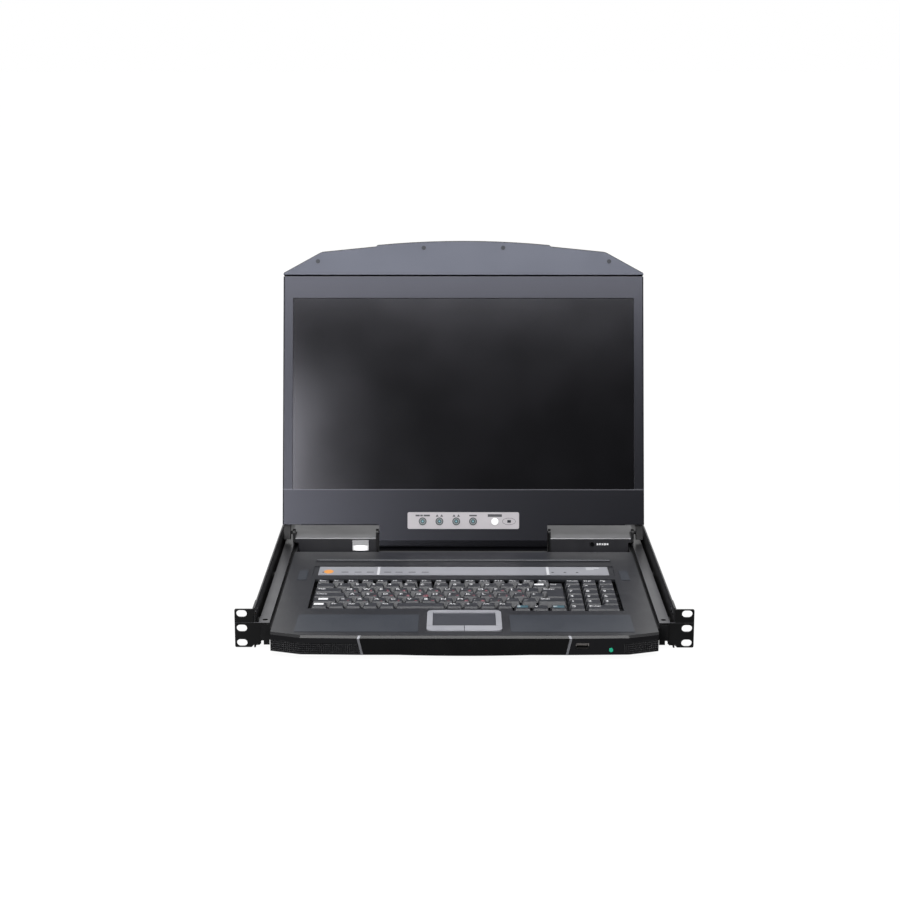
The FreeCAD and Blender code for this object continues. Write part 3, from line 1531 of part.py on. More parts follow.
def lcd_rear_cover():
    """Back shell with side walls, the upper end behind the handle and the arms down to the outer pins."""
    shell = new_body("Lcd_rear_cover")
    half = lcd_half
    back = -s.lcd_back
    outer = rectangle((-half, half), (s.lcd_low, seam_low))
    inner = rectangle((s.lcd_wall - half, half - s.lcd_wall), (s.lcd_low + s.lcd_wall, seam_low - s.lcd_wall))
    pad(shell, "Back_sheet", "XY", [rectangle((-half, half), (s.lcd_low, seam_high))], back,
        back + s.lcd_wall)
    pad(shell, "Back_rim", "XY", [outer, inner], back + s.lcd_wall, s.lcd_split)
    pad(shell, "Crown", "XY", [crown(seam_high, dim(0))], back, handle_back)
    bend_shoulders(shell, dim(0))
    arm = [
        (s.lcd_low + 24, back), (s.lcd_low + 24, s.lcd_split), (s.lcd_low, s.lcd_split),
        (s.lcd_low - s.slide_gap, s.arm_face), (-s.arm_drop, s.arm_face),
        (-s.arm_drop, s.lcd_split - s.arm_face),
        (s.lcd_split - s.arm_face, back - s.pin_radius), (s.lcd_low, back),
    ]
    for side in (-1, 1):
        across = on_side(side, arm_inner, arm_outer)
        pad(shell, "Arm_right" if side > 0 else "Arm_left", "YZ", [arm], across[0], across[1])
    lug = [(s.lcd_low + 3, back), (s.lcd_low + 3, s.lcd_split), (s.lcd_low, s.lcd_split),
           (0, s.lug_radius, "round"), (0, -s.lug_radius), (s.lcd_low - 6, back)]
    lug_outer = tongue_half - s.slide_gap
    for side in (-1, 1):
        across = on_side(side, lug_outer - s.lug_width, lug_outer)
        pad(shell, "Lug_right" if side > 0 else "Lug_left", "YZ", [lug], across[0], across[1])
    tab = rectangle((-half - s.tab_rise, -half), (s.tab_low, s.tab_high))
    pad(shell, "Side_tab", "XY", [tab], back + s.lcd_wall, s.lcd_split)
    for name, low, high in (("Inner_bores", lug_outer - s.lug_width - 1, lug_outer + 1),
                            ("Outer_bores", arm_inner - 1, arm_outer + 1)):
        for side in (-1, 1):
            across = on_side(side, low, high)
            pocket(shell, name + ("_right" if side > 0 else "_left"), "YZ",
                   [Disc((dim(0), dim(0)), s.pin_radius)],
                   across[0], across[1])
    return hang(shell)


def hinge_pins():
    """Four pins: pressed into the LCD's lugs and arms, turning in the leaves' eyes."""
    pieces = []
    play = s.opening_gap
    spans = ((tongue_half - s.lug_width + play, s.housing_inner - play),
             (housing_outer + play, arm_outer - 1))
    for low, high in spans:
        for side in (-1, 1):
            across = on_side(side, low, high)
            pieces.append(rod("Pin", "x", across[0], across[1], (dim(0), dim(0)), s.pin_radius))
    return hang(group("Hinge_pins", pieces))


def lcd_screen():
    """Display panel behind the bezel's window."""
    panel = new_body("Lcd_screen")
    margin = 2.2
    pad(panel, "Panel", "XY",
        [rectangle((-screen_half - margin, screen_half + margin),
                   (screen_low - margin, screen_high + margin))],
        panel_low, s.lcd_face - s.lcd_wall)
    return hang(panel)


def lcd_handle():
    """Cover plate on the upper end beyond the seam, a little lower than the shell's edge behind it."""
    part = new_body("Lcd_handle")
    pad(part, "Handle_plate", "XY", [crown(seam_high, -s.lcd_rim)], handle_back, handle_face)
    bend_shoulders(part, -s.lcd_rim)
    return hang(part)


def osd_plate():
    """Thin plate with rounded corners under the display buttons."""
    plate = new_body("Osd_plate")
    outline = rectangle((-s.osd_half, s.osd_half), (s.osd_low, s.osd_high))
    window = rectangle((s.osd_window - 2.2, s.osd_window + 2.2), (s.osd_row - 1.6, s.osd_row + 1.6))
    pad(plate, "Plate", "XY", [outline, window] + osd_holes(s.osd_button_fit), s.lcd_face,
        s.lcd_face + s.osd_rise)
    soften(plate, "Plate_corners", "Fillet", dim(2),
           lambda p, d: abs(d.z) > 0.9 and abs(p.x) > s.osd_half.number - 0.1)
    return hang(plate)


def lcd_screws():
    """Countersunk screws in the upper piece."""
    places = [(side * x, y) for side in (-1, 1)
              for x, y in ((48, s.lcd_corner + 4.6), (lcd_half - 41.5, s.lcd_corner - 11.8))]
    screws = [rod("Lcd_screw", "z", handle_face, handle_face + s.screw_height / 2, place, s.screw_radius)
              for place in places]
    return hang(group("Lcd_screws", screws))


def osd_button(x):
    cap = rod("Osd_cap", "z", s.lcd_face - 5, s.lcd_face + s.osd_rise + s.osd_button_rise,
              (x, s.osd_row), s.osd_button_radius)
    return hang(group("Osd_button", [cap]))


node(lcd_bezel(), "lcd_bezel")
node(lcd_rear_cover(), "lcd_rear_cover")
node(hinge_pins(), "hinge_pins")
node(lcd_screen(), "lcd_screen")
node(lcd_handle(), "lcd_handle")
node(osd_plate(), "osd_plate")
node(lcd_screws(), "lcd_screws")
for number in range(4):
    node(osd_button(s.osd_first + s.osd_pitch * number), "osd_button_%d" % (number + 1))
node(osd_button(s.osd_power), "lcd_power_button")

# ---------------------------------------------------------------- checks and export

doc.recompute()
for obj in doc.Objects:
    if "Invalid" in obj.State or "Error" in obj.State:
        raise RuntimeError("%s failed: %s" % (obj.Name, obj.State))
for feature in POCKETS:
    if feature.BaseFeature.Shape.Volume - feature.Shape.Volume < 0.01:
        raise RuntimeError("%s removes nothing" % feature.Name)
for obj in NODES:
    if obj.Shape.isNull() or not obj.Shape.isValid() or not obj.Shape.Solids:
        raise RuntimeError("%s has no valid solid" % obj.Label)
    obj.Shape.exportStep("parts/%s.step" % obj.Label)
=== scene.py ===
import math
import bmesh
import bpy
import numpy as np
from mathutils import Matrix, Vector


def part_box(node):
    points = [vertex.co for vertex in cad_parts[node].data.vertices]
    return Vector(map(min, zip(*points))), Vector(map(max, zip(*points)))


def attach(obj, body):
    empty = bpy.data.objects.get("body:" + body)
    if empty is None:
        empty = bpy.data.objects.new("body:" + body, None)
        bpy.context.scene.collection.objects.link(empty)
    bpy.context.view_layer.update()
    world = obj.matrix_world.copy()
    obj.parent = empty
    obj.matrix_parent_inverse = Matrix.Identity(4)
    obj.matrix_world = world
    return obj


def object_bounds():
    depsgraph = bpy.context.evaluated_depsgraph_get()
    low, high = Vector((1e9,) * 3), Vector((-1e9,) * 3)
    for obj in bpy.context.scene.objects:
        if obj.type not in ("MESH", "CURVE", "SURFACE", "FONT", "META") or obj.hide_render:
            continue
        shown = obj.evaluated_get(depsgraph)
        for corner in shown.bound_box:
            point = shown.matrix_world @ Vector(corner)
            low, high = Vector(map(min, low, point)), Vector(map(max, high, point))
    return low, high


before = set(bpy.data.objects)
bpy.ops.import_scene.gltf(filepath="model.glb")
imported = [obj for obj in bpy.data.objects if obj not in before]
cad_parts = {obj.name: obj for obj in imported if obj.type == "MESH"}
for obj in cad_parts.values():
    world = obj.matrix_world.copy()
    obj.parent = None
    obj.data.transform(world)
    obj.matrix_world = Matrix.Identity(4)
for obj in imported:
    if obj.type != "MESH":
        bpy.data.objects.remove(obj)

cad_low, cad_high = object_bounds()

# ---------------------------------------------------------------- studio
# A white paper sweep lit by four soft boxes: a wide one overhead, a long strip above the front edge, a weak
# one behind, and one at the front left that the leaning screen mirrors. Even light fills the shadows.


def linear(code):
    """Linear colour of an sRGB hex code: a channel under 0.04045 is divided by 12.92, and any other has 0.055
    added, is divided by 1.055 and is taken to the power 2.4."""
    steps = np.array([int(code[place:place + 2], 16) for place in (1, 3, 5)]) / 255
    return (*np.where(steps < 0.04045, steps / 12.92, ((steps + 0.055) / 1.055) ** 2.4), 1.0)


def add(tree, kind, settings=None, links=None):
    """Adds one node, sets its sockets and properties by name and links other sockets into it."""
    made = tree.nodes.new("ShaderNode" + kind)
    for name, value in (settings or {}).items():
        if isinstance(name, int) or name in made.inputs:
            made.inputs[name].default_value = value
        else:
            setattr(made, name, value)
    for name, source in (links or {}).items():
        tree.links.new(source, made.inputs[name])
    return made


scene = bpy.context.scene
scene.view_settings.view_transform = "Standard"

lens = bpy.data.cameras.new("camera")
lens.lens = 73.55
lens.sensor_width = 36.0
camera = bpy.data.objects.new("camera", lens)
camera.location = (-0.0087, -1.833, 0.6055)
camera.rotation_euler = (math.radians(77.26), 0, math.radians(0.1955))
scene.collection.objects.link(camera)
scene.camera = camera

# The room is white to the camera and dim to dull surfaces. Shiny ones mirror a wall that is dark in front of
# the console and brightens towards the back, as the heading's y goes from -0.7 to 0.4.
dim_room = 0.1
front_wall = 0.02
rear_wall = 0.85
sky = bpy.data.worlds.new("studio")
scene.world = sky
sky.use_nodes = True
tree = sky.node_tree
tree.nodes.clear()
rays = add(tree, "LightPath")
mirrored = add(tree, "Math", {"operation": "MAXIMUM"},
               {0: rays.outputs["Is Glossy Ray"], 1: rays.outputs["Is Transmission Ray"]})
heading = add(tree, "SeparateXYZ", links={0: add(tree, "TexCoord").outputs["Generated"]})
wall = add(tree, "MapRange", {"From Min": -0.7, "From Max": 0.4, "To Min": front_wall, "To Max": rear_wall},
           {"Value": heading.outputs["Y"]})
room = add(tree, "Mix", {"data_type": "FLOAT", 2: dim_room}, {0: mirrored.outputs[0], 3: wall.outputs[0]})
strength = add(tree, "Math", {"operation": "MAXIMUM"}, {0: rays.outputs["Is Camera Ray"], 1: room.outputs[0]})
backdrop = add(tree, "Background", {"Color": (1, 1, 1, 1)}, {"Strength": strength.outputs[0]})
add(tree, "OutputWorld", links={"Surface": backdrop.outputs[0]})


def soft_box(name, place, target, width, height, power):
    """Area lamp at a place, turned so that its -Z axis points at the target."""
    light = bpy.data.lights.new(name, "AREA")
    light.shape = "RECTANGLE"
    light.size = width
    light.size_y = height
    light.energy = power
    holder = bpy.data.objects.new(name, light)
    way = np.array(target) - np.array(place)
    holder.location = place
    holder.rotation_euler = (math.atan2(math.hypot(way[0], way[1]), -way[2]), 0, math.atan2(-way[0], way[1]))
    scene.collection.objects.link(holder)


soft_box("top_box", place=(0, 0, 2.2), target=(0, 0.1, 0), width=1.8, height=1.7, power=44)
soft_box("front_strip", place=(0, -0.75, 0.93), target=(0, 0.35, 0.2), width=1.4, height=0.19, power=12.8)
soft_box("rear_box", place=(0, 2.3, 1.9), target=(0, 0.5, 0), width=1.4, height=0.7, power=6)
soft_box("left_box", place=(-0.82, -2.0, 0.62), target=(-0.1, 0.35, 0.2), width=0.75, height=0.8, power=22)

# The paper is grey to the lamps, so that it keeps the shadow, and glows white to the camera. The glow is full
# from 2.6 m out, where the sweep runs into the backdrop.
floor_reach = 30.0
floor_level = cad_low[2] - 0.0005
near_glow = 0.96
floor = bpy.data.meshes.new("floor")
floor.from_pydata([(-floor_reach, -floor_reach, floor_level), (floor_reach, -floor_reach, floor_level),
                   (floor_reach, floor_reach, floor_level), (-floor_reach, floor_reach, floor_level)],
                  [], [(0, 1, 2, 3)])
ground = bpy.data.objects.new("floor", floor)
scene.collection.objects.link(ground)
paper = bpy.data.materials.new("matt_white_paper")
paper.use_nodes = True
tree = paper.node_tree
tree.nodes.clear()
rays = add(tree, "LightPath")
dull = add(tree, "BsdfDiffuse", {"Color": linear("#4a4a4a")})
seen = add(tree, "Math", {"operation": "MAXIMUM"},
           {0: rays.outputs["Is Camera Ray"], 1: rays.outputs["Is Transmission Ray"]})
away = add(tree, "VectorMath", {"operation": "LENGTH"}, {0: add(tree, "TexCoord").outputs["Object"]})
whiter = add(tree, "MapRange", {"From Min": 0.8, "From Max": 2.6, "To Min": near_glow, "To Max": 1.0},
             {"Value": away.outputs["Value"]})
glow = add(tree, "Math", {"operation": "MULTIPLY"}, {0: seen.outputs[0], 1: whiter.outputs[0]})
white = add(tree, "Emission", {"Color": (1, 1, 1, 1)}, {"Strength": glow.outputs[0]})
both = add(tree, "AddShader", links={0: dull.outputs[0], 1: white.outputs[0]})
add(tree, "OutputMaterial", links={"Surface": both.outputs[0]})
floor.materials.append(paper)

# ---------------------------------------------------------------- case, rack rails and rear brackets
# Folded sheet steel, powder coated matt black. The rack ears, the walls and the tray are screwed together,
# and the rear brackets slide in the walls to suit the depth of the rack.


def start(name, code, **values):
    """Starts a material: a Principled shader with its plain values, and Object coordinates in millimetres.
    Every place that is named for a material is in millimetres too, and the meshes are in metres."""
    made = bpy.data.materials.new(name)
    made.use_nodes = True
    tree = made.node_tree
    tree.nodes.clear()
    settings = {"Base Color": linear(code)}
    settings.update({socket.replace("_", " ").title().replace("Ior", "IOR"): value
                     for socket, value in values.items()})
    shader = add(tree, "BsdfPrincipled", settings)
    add(tree, "OutputMaterial", links={"Surface": shader.outputs[0]})
    place = add(tree, "Mapping", {"Scale": (1000, 1000, 1000)},
                {"Vector": add(tree, "TexCoord").outputs["Object"]})
    return made, tree, shader, place.outputs[0]


def grain(tree, shader, place, size, depth, tones, blotch=40.0):
    """Surface texture: noise with lumps of the given size in mm lifts the surface by depth in mm. A slow
    noise with blotches of the other size drifts the colour between two tones and the roughness by a tenth."""
    lumps = add(tree, "TexNoise", {"Scale": 1 / size, "Detail": 3.0, "Roughness": 0.6}, {"Vector": place})
    lift = add(tree, "Bump", {"Strength": 1.0, "Distance": depth / 1000}, {"Height": lumps.outputs[0]})
    tree.links.new(lift.outputs[0], shader.inputs["Normal"])
    slow = add(tree, "TexNoise", {"Scale": 1 / blotch, "Detail": 2.0}, {"Vector": place})
    mixed = add(tree, "Mix", {"data_type": "RGBA", 6: linear(tones[0]), 7: linear(tones[1])},
                {0: slow.outputs[0]})
    tree.links.new(mixed.outputs[2], shader.inputs["Base Color"])
    rough = shader.inputs["Roughness"].default_value
    drift = add(tree, "MapRange", {"From Min": 0.3, "From Max": 0.7, "To Min": rough * 0.9,
                                   "To Max": rough * 1.1}, {"Value": slow.outputs[0]})
    tree.links.new(drift.outputs[0], shader.inputs["Roughness"])


def overlay(tree, shader, share, code):
    """Lays one more colour over the colour that the shader has, as far as the share says, from 0 to 1."""
    under = shader.inputs["Base Color"].links[0].from_socket
    mixed = add(tree, "Mix", {"data_type": "RGBA", 7: linear(code)}, {0: share, 6: under})
    tree.links.new(mixed.outputs[2], shader.inputs["Base Color"])


def dress(material, *names):
    """Gives CAD pieces their material."""
    for name in names:
        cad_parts[name].data.materials.clear()
        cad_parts[name].data.materials.append(material)


# Powder coat on steel: a fine orange peel that breaks up the highlights, drawn at 1.2 mm because the real
# lumps of 0.3 mm are too fine to show.
powder_coat, tree, shader, place = start("powder_coated_steel", "#141415", roughness=0.42, ior=1.5)
grain(tree, shader, place, size=1.2, depth=0.03, tones=("#121213", "#18181a"))
dress(powder_coat, "left_side_wall", "right_side_wall", "case_tray", "rear_top_cover", "rear_panel",
      "left_rear_bracket", "right_rear_bracket", "drawer_tray", "hinge_leaves")

# The same coat on the rails, with a highlight painted in grey on the top flange that the drawer passes over.
# The painted highlight is full for 130 mm behind the ears and has faded to a fifth at 290 mm.
flange_level = 6.0
flange_slack = 0.2
flange_highlight_full = 130.0
flange_highlight_faded = 290.0
coat_with_painted_flange_highlight, tree, shader, place = start("powder_coat_painted_flange_highlight", "#0a0a0b", roughness=0.33, ior=1.5)
grain(tree, shader, place, size=1.2, depth=0.02, tones=("#09090a", "#0d0d0e"))
axes = add(tree, "SeparateXYZ", links={0: place})
flange = add(tree, "Math", {"operation": "COMPARE", 1: flange_level, 2: flange_slack}, {0: axes.outputs["Z"]})
fading = add(tree, "MapRange", {"From Min": flange_highlight_full, "From Max": flange_highlight_faded, "To Min": 1.0, "To Max": 0.2},
             {"Value": axes.outputs["Y"]})
# Painted highlight: the top flange is painted lighter, most near the front.
flange_highlight = add(tree, "Math", {"operation": "MULTIPLY"}, {0: flange.outputs[0], 1: fading.outputs[0]})
overlay(tree, shader, flange_highlight.outputs[0], "#404043")
dress(coat_with_painted_flange_highlight, "left_rack_rail", "right_rack_rail")

# ---------------------------------------------------------------- screws
# Pan-head machine screws of steel, black zinc plated, that hold the case and the drawer's covers. The plating
# gives the small heads a dull dark glint.

black_zinc, tree, shader, place = start("black_zinc_plated_screws", "#2b2b2c", metallic=0.8, roughness=0.38)
grain(tree, shader, place, size=0.5, depth=0.01, tones=("#262627", "#343435"), blotch=3.0)
dress(black_zinc, "case_screws", "drawer_screws")

# ---------------------------------------------------------------- telescopic slides
# Three rolled steel members a side. The inner and outer ones are black passivated, and the middle ones, where
# the balls run, are bright zinc. The case of the power supply is stamped from the same bright sheet.

# Black passivated steel: a dull, almost black metal, which keeps the gap beside the drawer dark.
black_slide, tree, shader, place = start("black_passivated_steel", "#1c1c1d", metallic=0.7, roughness=0.5)
grain(tree, shader, place, size=2.0, depth=0.01, tones=("#18181a", "#222223"), blotch=6.0)
dress(black_slide, "slide_outer_members", "slide_inner_members", "hinge_pins")

# Bright zinc plating: a pale metal with blurred mirroring and cloudy patches about 6 mm across.
bright_zinc, tree, shader, place = start("zinc_plated_steel", "#9b9c9d", metallic=1.0, roughness=0.36)
grain(tree, shader, place, size=2.0, depth=0.01, tones=("#8e8f90", "#a9aaab"), blotch=6.0)
dress(bright_zinc, "left_slide_middle", "right_slide_middle", "power_supply")

# ---------------------------------------------------------------- rear connectors, socket and electronics
# The mains inlet and its rocker are moulded nylon, the rear sockets have plated steel shells, and the board
# is glass-fibre laminate. The small socket in the right front bezel has a tinned shell.

# Moulded nylon: black with an even, dull sheen.
nylon, tree, shader, place = start("moulded_black_nylon", "#18181a", roughness=0.55, ior=1.53)
grain(tree, shader, place, size=0.8, depth=0.02, tones=("#161618", "#1e1e20"))
dress(nylon, "power_inlet", "power_rocker")

# Nickel plating: a warm, bright metal with fairly sharp mirroring.
nickel, tree, shader, place = start("nickel_plated_shells", "#b5b3ad", metallic=1.0, roughness=0.3)
grain(tree, shader, place, size=1.0, depth=0.01, tones=("#a8a6a0", "#c0beb8"), blotch=5.0)
dress(nickel, "rear_ports")

# Tinned shell and moulded tongue: warm grey in the upper half, and painted shade in the open mouth below it.
usb_middle = sum(corner[2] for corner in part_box("usb_port")) / 2 * 1000
port_shell, tree, shader, place = start("tinned_shell_and_pale_tongue", "#8f8b88", metallic=0.3,
                                        roughness=0.4)
grain(tree, shader, place, size=0.8, depth=0.01, tones=("#8a8683", "#95918e"), blotch=5.0)
# Painted shade: the lower half, where the mouth opens, is painted dark.
mouth_painted_shade = add(tree, "Math", {"operation": "LESS_THAN", 1: usb_middle},
            {0: add(tree, "SeparateXYZ", links={0: place}).outputs["Z"]})
overlay(tree, shader, mouth_painted_shade.outputs[0], "#2a2928")
dress(port_shell, "usb_port")

# Solder mask: a glossy, clear green lacquer over copper and laminate.
solder_mask, tree, shader, place = start("green_solder_mask", "#0f4a2a", roughness=0.35, ior=1.5)
grain(tree, shader, place, size=3.0, depth=0.02, tones=("#0d4326", "#14562f"), blotch=8.0)
dress(solder_mask, "main_board")

# ---------------------------------------------------------------- deck
# One ABS moulding round the keyboard and under the wrists, with palm rests and small pads of smooth film
# stuck on it. A low rounded rib crosses it behind the indicator strip.

# Spark-eroded ABS: an even texture that scatters light, drawn at 0.9 mm because the real one is too fine.
deck_abs, tree, shader, place = start("spark_textured_abs", "#1b1c20", roughness=0.4, ior=1.5)
grain(tree, shader, place, size=0.9, depth=0.03, tones=("#191a1e", "#1f2024"))
dress(deck_abs, "deck_cover")

# Matt film: a little bluer and paler than the deck, with a softer sheen.
palm_film, tree, shader, place = start("matt_palm_film", "#272b32", roughness=0.45, ior=1.5)
grain(tree, shader, place, size=0.9, depth=0.03, tones=("#252930", "#2b2f36"))
dress(palm_film, "deck_patches")


def finish_piece(name, points, faces, material, body):
    """Puts vertices and faces into a new mesh piece with its material, body and slot, normals outwards."""
    mesh = bpy.data.meshes.new(name)
    mesh.from_pydata(points.tolist(), [], faces)
    work = bmesh.new()
    work.from_mesh(mesh)
    bmesh.ops.remove_doubles(work, verts=work.verts, dist=1e-7)
    bmesh.ops.recalc_face_normals(work, faces=work.faces)
    work.to_mesh(mesh)
    work.free()
    mesh.materials.append(material)
    piece = bpy.data.objects.new(name, mesh)
    scene.collection.objects.link(piece)
    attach(piece, body)


def rib(left, right, y, z, half_width, height, steps=8):
    """Half-round bead along x: across it the height follows a half circle flattened to the given height, and
    the two ends sink to nearly nothing over one width. The underside is flat."""
    taper = half_width * 2 * np.array([0, 0.5, 1])
    along = np.concatenate((left + taper, right - taper[::-1]))
    swell = np.array([0.02, 0.8, 1, 1, 0.8, 0.02])
    turn = np.linspace(0, math.pi, steps + 1)
    rise = np.outer(swell, np.sin(turn)) * height
    points = np.stack((np.repeat(along, steps + 1), np.tile(y - np.cos(turn) * half_width, len(along)),
                       z + rise.ravel()), 1)
    row, column = np.meshgrid(np.arange(len(along) - 1), np.arange(steps), indexing="ij")
    first = (row * (steps + 1) + column).ravel()
    quads = np.stack((first, first + 1, first + steps + 2, first + steps + 1), 1)
    foot = np.arange(len(along) - 1) * (steps + 1)
    under = np.stack((foot, foot + steps + 1, foot + steps * 2 + 1, foot + steps), 1)
    ends = [list(range(steps + 1)), list(range(len(points) - steps - 1, len(points)))]
    return points, quads.tolist() + under.tolist() + ends


# Polished ABS on the rib: smoother than the deck and painted paler as a highlight, so a thin pale line shows.
rib_overhang = 0.006
rib_setback = 0.029
rib_sink = 0.0001
deck_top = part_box("deck_cover")[1][2]
strip_low, strip_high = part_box("indicator_strip")
rib_abs_painted_highlight, tree, shader, place = start("rib_abs_with_painted_highlight", "#3c3d42", roughness=0.32, ior=1.5)
grain(tree, shader, place, size=0.9, depth=0.01, tones=("#393a3f", "#424348"))
points, faces = rib(strip_low[0] - rib_overhang, strip_high[0] + rib_overhang, strip_high[1] + rib_setback,
                    deck_top - rib_sink, half_width=0.0018, height=0.0008)
finish_piece("deck_rib", points, faces, rib_abs_painted_highlight, "drawer")

# ---------------------------------------------------------------- front bezels, centre handle and trims
# Moulded pieces snapped in along the front edge, with bent and lacquered trims between them. A vent grille is
# moulded all along the left bezel, and in the right one only at its outer end.

# Satin black ABS: deep black with soft, fairly sharp highlights along its edges.
bezel_abs, tree, shader, place = start("satin_black_abs", "#070708", roughness=0.27, ior=1.5)
grain(tree, shader, place, size=0.8, depth=0.02, tones=("#050506", "#09090a"))
dress(bezel_abs, "centre_handle", "key_guide_plate", "lamp_button")

# The same ABS with the grille in it: raised diamonds between openings, 2.2 mm from row to row, with painted
# light: the diamonds are painted dark grey as lit tops and the openings almost black as shade. Two crossed
# waves of 2 radians a mm, turned by 45 degrees, give them.
wave_pace = 2.0
grille_middle = -9.5
grille_half = 6.0
right_grille_start = 164.0
grille_depth = 0.0006
grille_abs, tree, shader, place = start("vent_grille_abs_painted_light", "#070708", roughness=0.27, ior=1.5)
turned = add(tree, "Mapping", {"Rotation": (0, math.radians(45), 0)}, {"Vector": place})
axes = add(tree, "SeparateXYZ", links={0: turned.outputs[0]})
waves = []
for way in ("X", "Z"):
    phase = add(tree, "Math", {"operation": "MULTIPLY", 1: wave_pace}, {0: axes.outputs[way]})
    waves.append(add(tree, "Math", {"operation": "SINE"}, {0: phase.outputs[0]}))
cells = add(tree, "Math", {"operation": "MULTIPLY"}, {0: waves[0].outputs[0], 1: waves[1].outputs[0]})
axes = add(tree, "SeparateXYZ", links={0: place})
band = add(tree, "Math", {"operation": "COMPARE", 1: grille_middle, 2: grille_half}, {0: axes.outputs["Z"]})
left_side = add(tree, "Math", {"operation": "LESS_THAN", 1: 0.0}, {0: axes.outputs["X"]})
right_end = add(tree, "Math", {"operation": "GREATER_THAN", 1: right_grille_start}, {0: axes.outputs["X"]})
vented = add(tree, "Math", {"operation": "MAXIMUM"}, {0: left_side.outputs[0], 1: right_end.outputs[0]})
band = add(tree, "Math", {"operation": "MULTIPLY"}, {0: band.outputs[0], 1: vented.outputs[0]})
ridges = add(tree, "Math", {"operation": "MULTIPLY"}, {0: cells.outputs[0], 1: band.outputs[0]})
steep = add(tree, "MapRange", {"From Min": -0.2, "From Max": 0.3}, {"Value": ridges.outputs[0]})
# Painted light and shade: lit diamond tops in dark grey, shaded openings almost black.
grille_painted_light = add(tree, "Mix", {"data_type": "RGBA", 6: linear("#030304"), 7: linear("#232326")},
           {0: steep.outputs[0]})
tree.links.new(grille_painted_light.outputs[2], shader.inputs["Base Color"])
lift = add(tree, "Bump", {"Strength": 1.0, "Distance": grille_depth}, {"Height": steep.outputs[0]})
tree.links.new(lift.outputs[0], shader.inputs["Normal"])
dress(grille_abs, "left_bezel", "right_bezel")

# Metallic lacquer on the bent trims: mid grey, with a slight metal sheen.
trim_lacquer, tree, shader, place = start("grey_lacquered_trim", "#7c7d82", roughness=0.35, metallic=0.4)
grain(tree, shader, place, size=0.6, depth=0.01, tones=("#75767b", "#85868b"), blotch=10.0)
dress(trim_lacquer, "trim_strips")

# Lit acrylic lens: a green dot with a weak glow of its own.
green_lens, tree, shader, place = start("lit_green_lens", "#1f8f70", roughness=0.25,
                                        emission_color=linear("#2fae88"), emission_strength=0.35)
grain(tree, shader, place, size=1.0, depth=0.01, tones=("#1c8568", "#249a7a"), blotch=2.0)
dress(green_lens, "power_light")

# ---------------------------------------------------------------- keyboard
# Moulded ABS key caps with sloping sides. White legends are pad printed at the upper left of the caps, and
# three of the rows have second marks in dull red. The ink stands 0.06 mm proud of the cap.

# Satin ABS: dark grey tops that catch the overhead light more than the deck does.
cap_abs, tree, shader, place = start("satin_key_abs", "#2a2b2f", roughness=0.37, ior=1.5)
grain(tree, shader, place, size=0.6, depth=0.008, tones=("#27282c", "#2e2f34"), blotch=15.0)
dress(cap_abs, "function_keys", "digit_keys", "top_letter_keys", "home_letter_keys", "lower_letter_keys",
      "modifier_and_arrow_keys", "space_bar", "number_pad_keys")

# Pad printing ink: thin and matt, off-white, dull red or teal.
white_ink, tree, shader, place = start("white_pad_print", "#e2e2e4", roughness=0.5, ior=1.5)
grain(tree, shader, place, size=0.3, depth=0.004, tones=("#dadadc", "#eaeaec"), blotch=2.0)
red_ink, tree, shader, place = start("dull_red_pad_print", "#a8606a", roughness=0.5, ior=1.5)
grain(tree, shader, place, size=0.3, depth=0.004, tones=("#a05862", "#b06872"), blotch=2.0)
teal_ink, tree, shader, place = start("teal_cap_print", "#3c5a66", roughness=0.4, ior=1.5)
grain(tree, shader, place, size=0.3, depth=0.004, tones=("#385660", "#42626e"), blotch=4.0)


def triangles_of(mesh):
    """The vertices of a mesh and the corner numbers of its triangles, as arrays with three columns."""
    mesh.calc_loop_triangles()
    points = np.empty(len(mesh.vertices) * 3)
    mesh.vertices.foreach_get("co", points)
    corners = np.empty(len(mesh.loop_triangles) * 3, int)
    mesh.loop_triangles.foreach_get("vertices", corners)
    return points.reshape(-1, 3), corners.reshape(-1, 3)


def cap_tops(name, slack=0.0001, gap=0.0003):
    """Low and high x and y of each flat cap top. The triangles within the slack of the highest plane are
    sorted along y and cut where a space wider than the gap opens. Each row so found is cut along x too."""
    points, corners = triangles_of(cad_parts[name].data)
    flat = points[corners]
    flat = flat[flat[:, :, 2].min(1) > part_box(name)[1][2] - slack]

    def cut(part, axis):
        low = part[:, :, axis].min(1)
        high = part[:, :, axis].max(1)
        order = np.argsort(low)
        fresh = low[order][1:] > np.maximum.accumulate(high[order])[:-1] + gap
        return np.split(part[order], np.flatnonzero(fresh) + 1)

    tops = [cap for row in cut(flat, 1) for cap in cut(row, 0)]
    return [(cap[:, :, 0].min(), cap[:, :, 0].max(), cap[:, :, 1].min(), cap[:, :, 1].max()) for cap in tops]


def joined(parts):
    """Vertices and faces of several parts as one set: a part's faces are numbered on from the one before."""
    firsts = np.cumsum([0] + [len(points) for points, faces in parts])
    faces = [(np.asarray(face) + first).tolist() for first, part in zip(firsts, parts) for face in part[1]]
    return np.concatenate([points for points, faces in parts]), faces


def lettering(words, ink):
    """Vertices and triangles of short words: each is (text, left, base, height, z), set flat in the xy plane
    and as thick above and below z as the ink. Capitals are 1 / 1.4 of the type's size."""
    parts = []
    for text, left, base, height, z in words:
        font = bpy.data.curves.new("type", "FONT")
        font.body = text
        font.size = height * 1.4
        font.extrude = ink
        font.resolution_u = 2
        holder = bpy.data.objects.new("type", font)
        mesh = bpy.data.meshes.new_from_object(holder)
        points, corners = triangles_of(mesh)
        parts.append((points + (left, base, z), corners))
        bpy.data.objects.remove(holder)
        bpy.data.curves.remove(font)
        bpy.data.meshes.remove(mesh)
    return joined(parts)


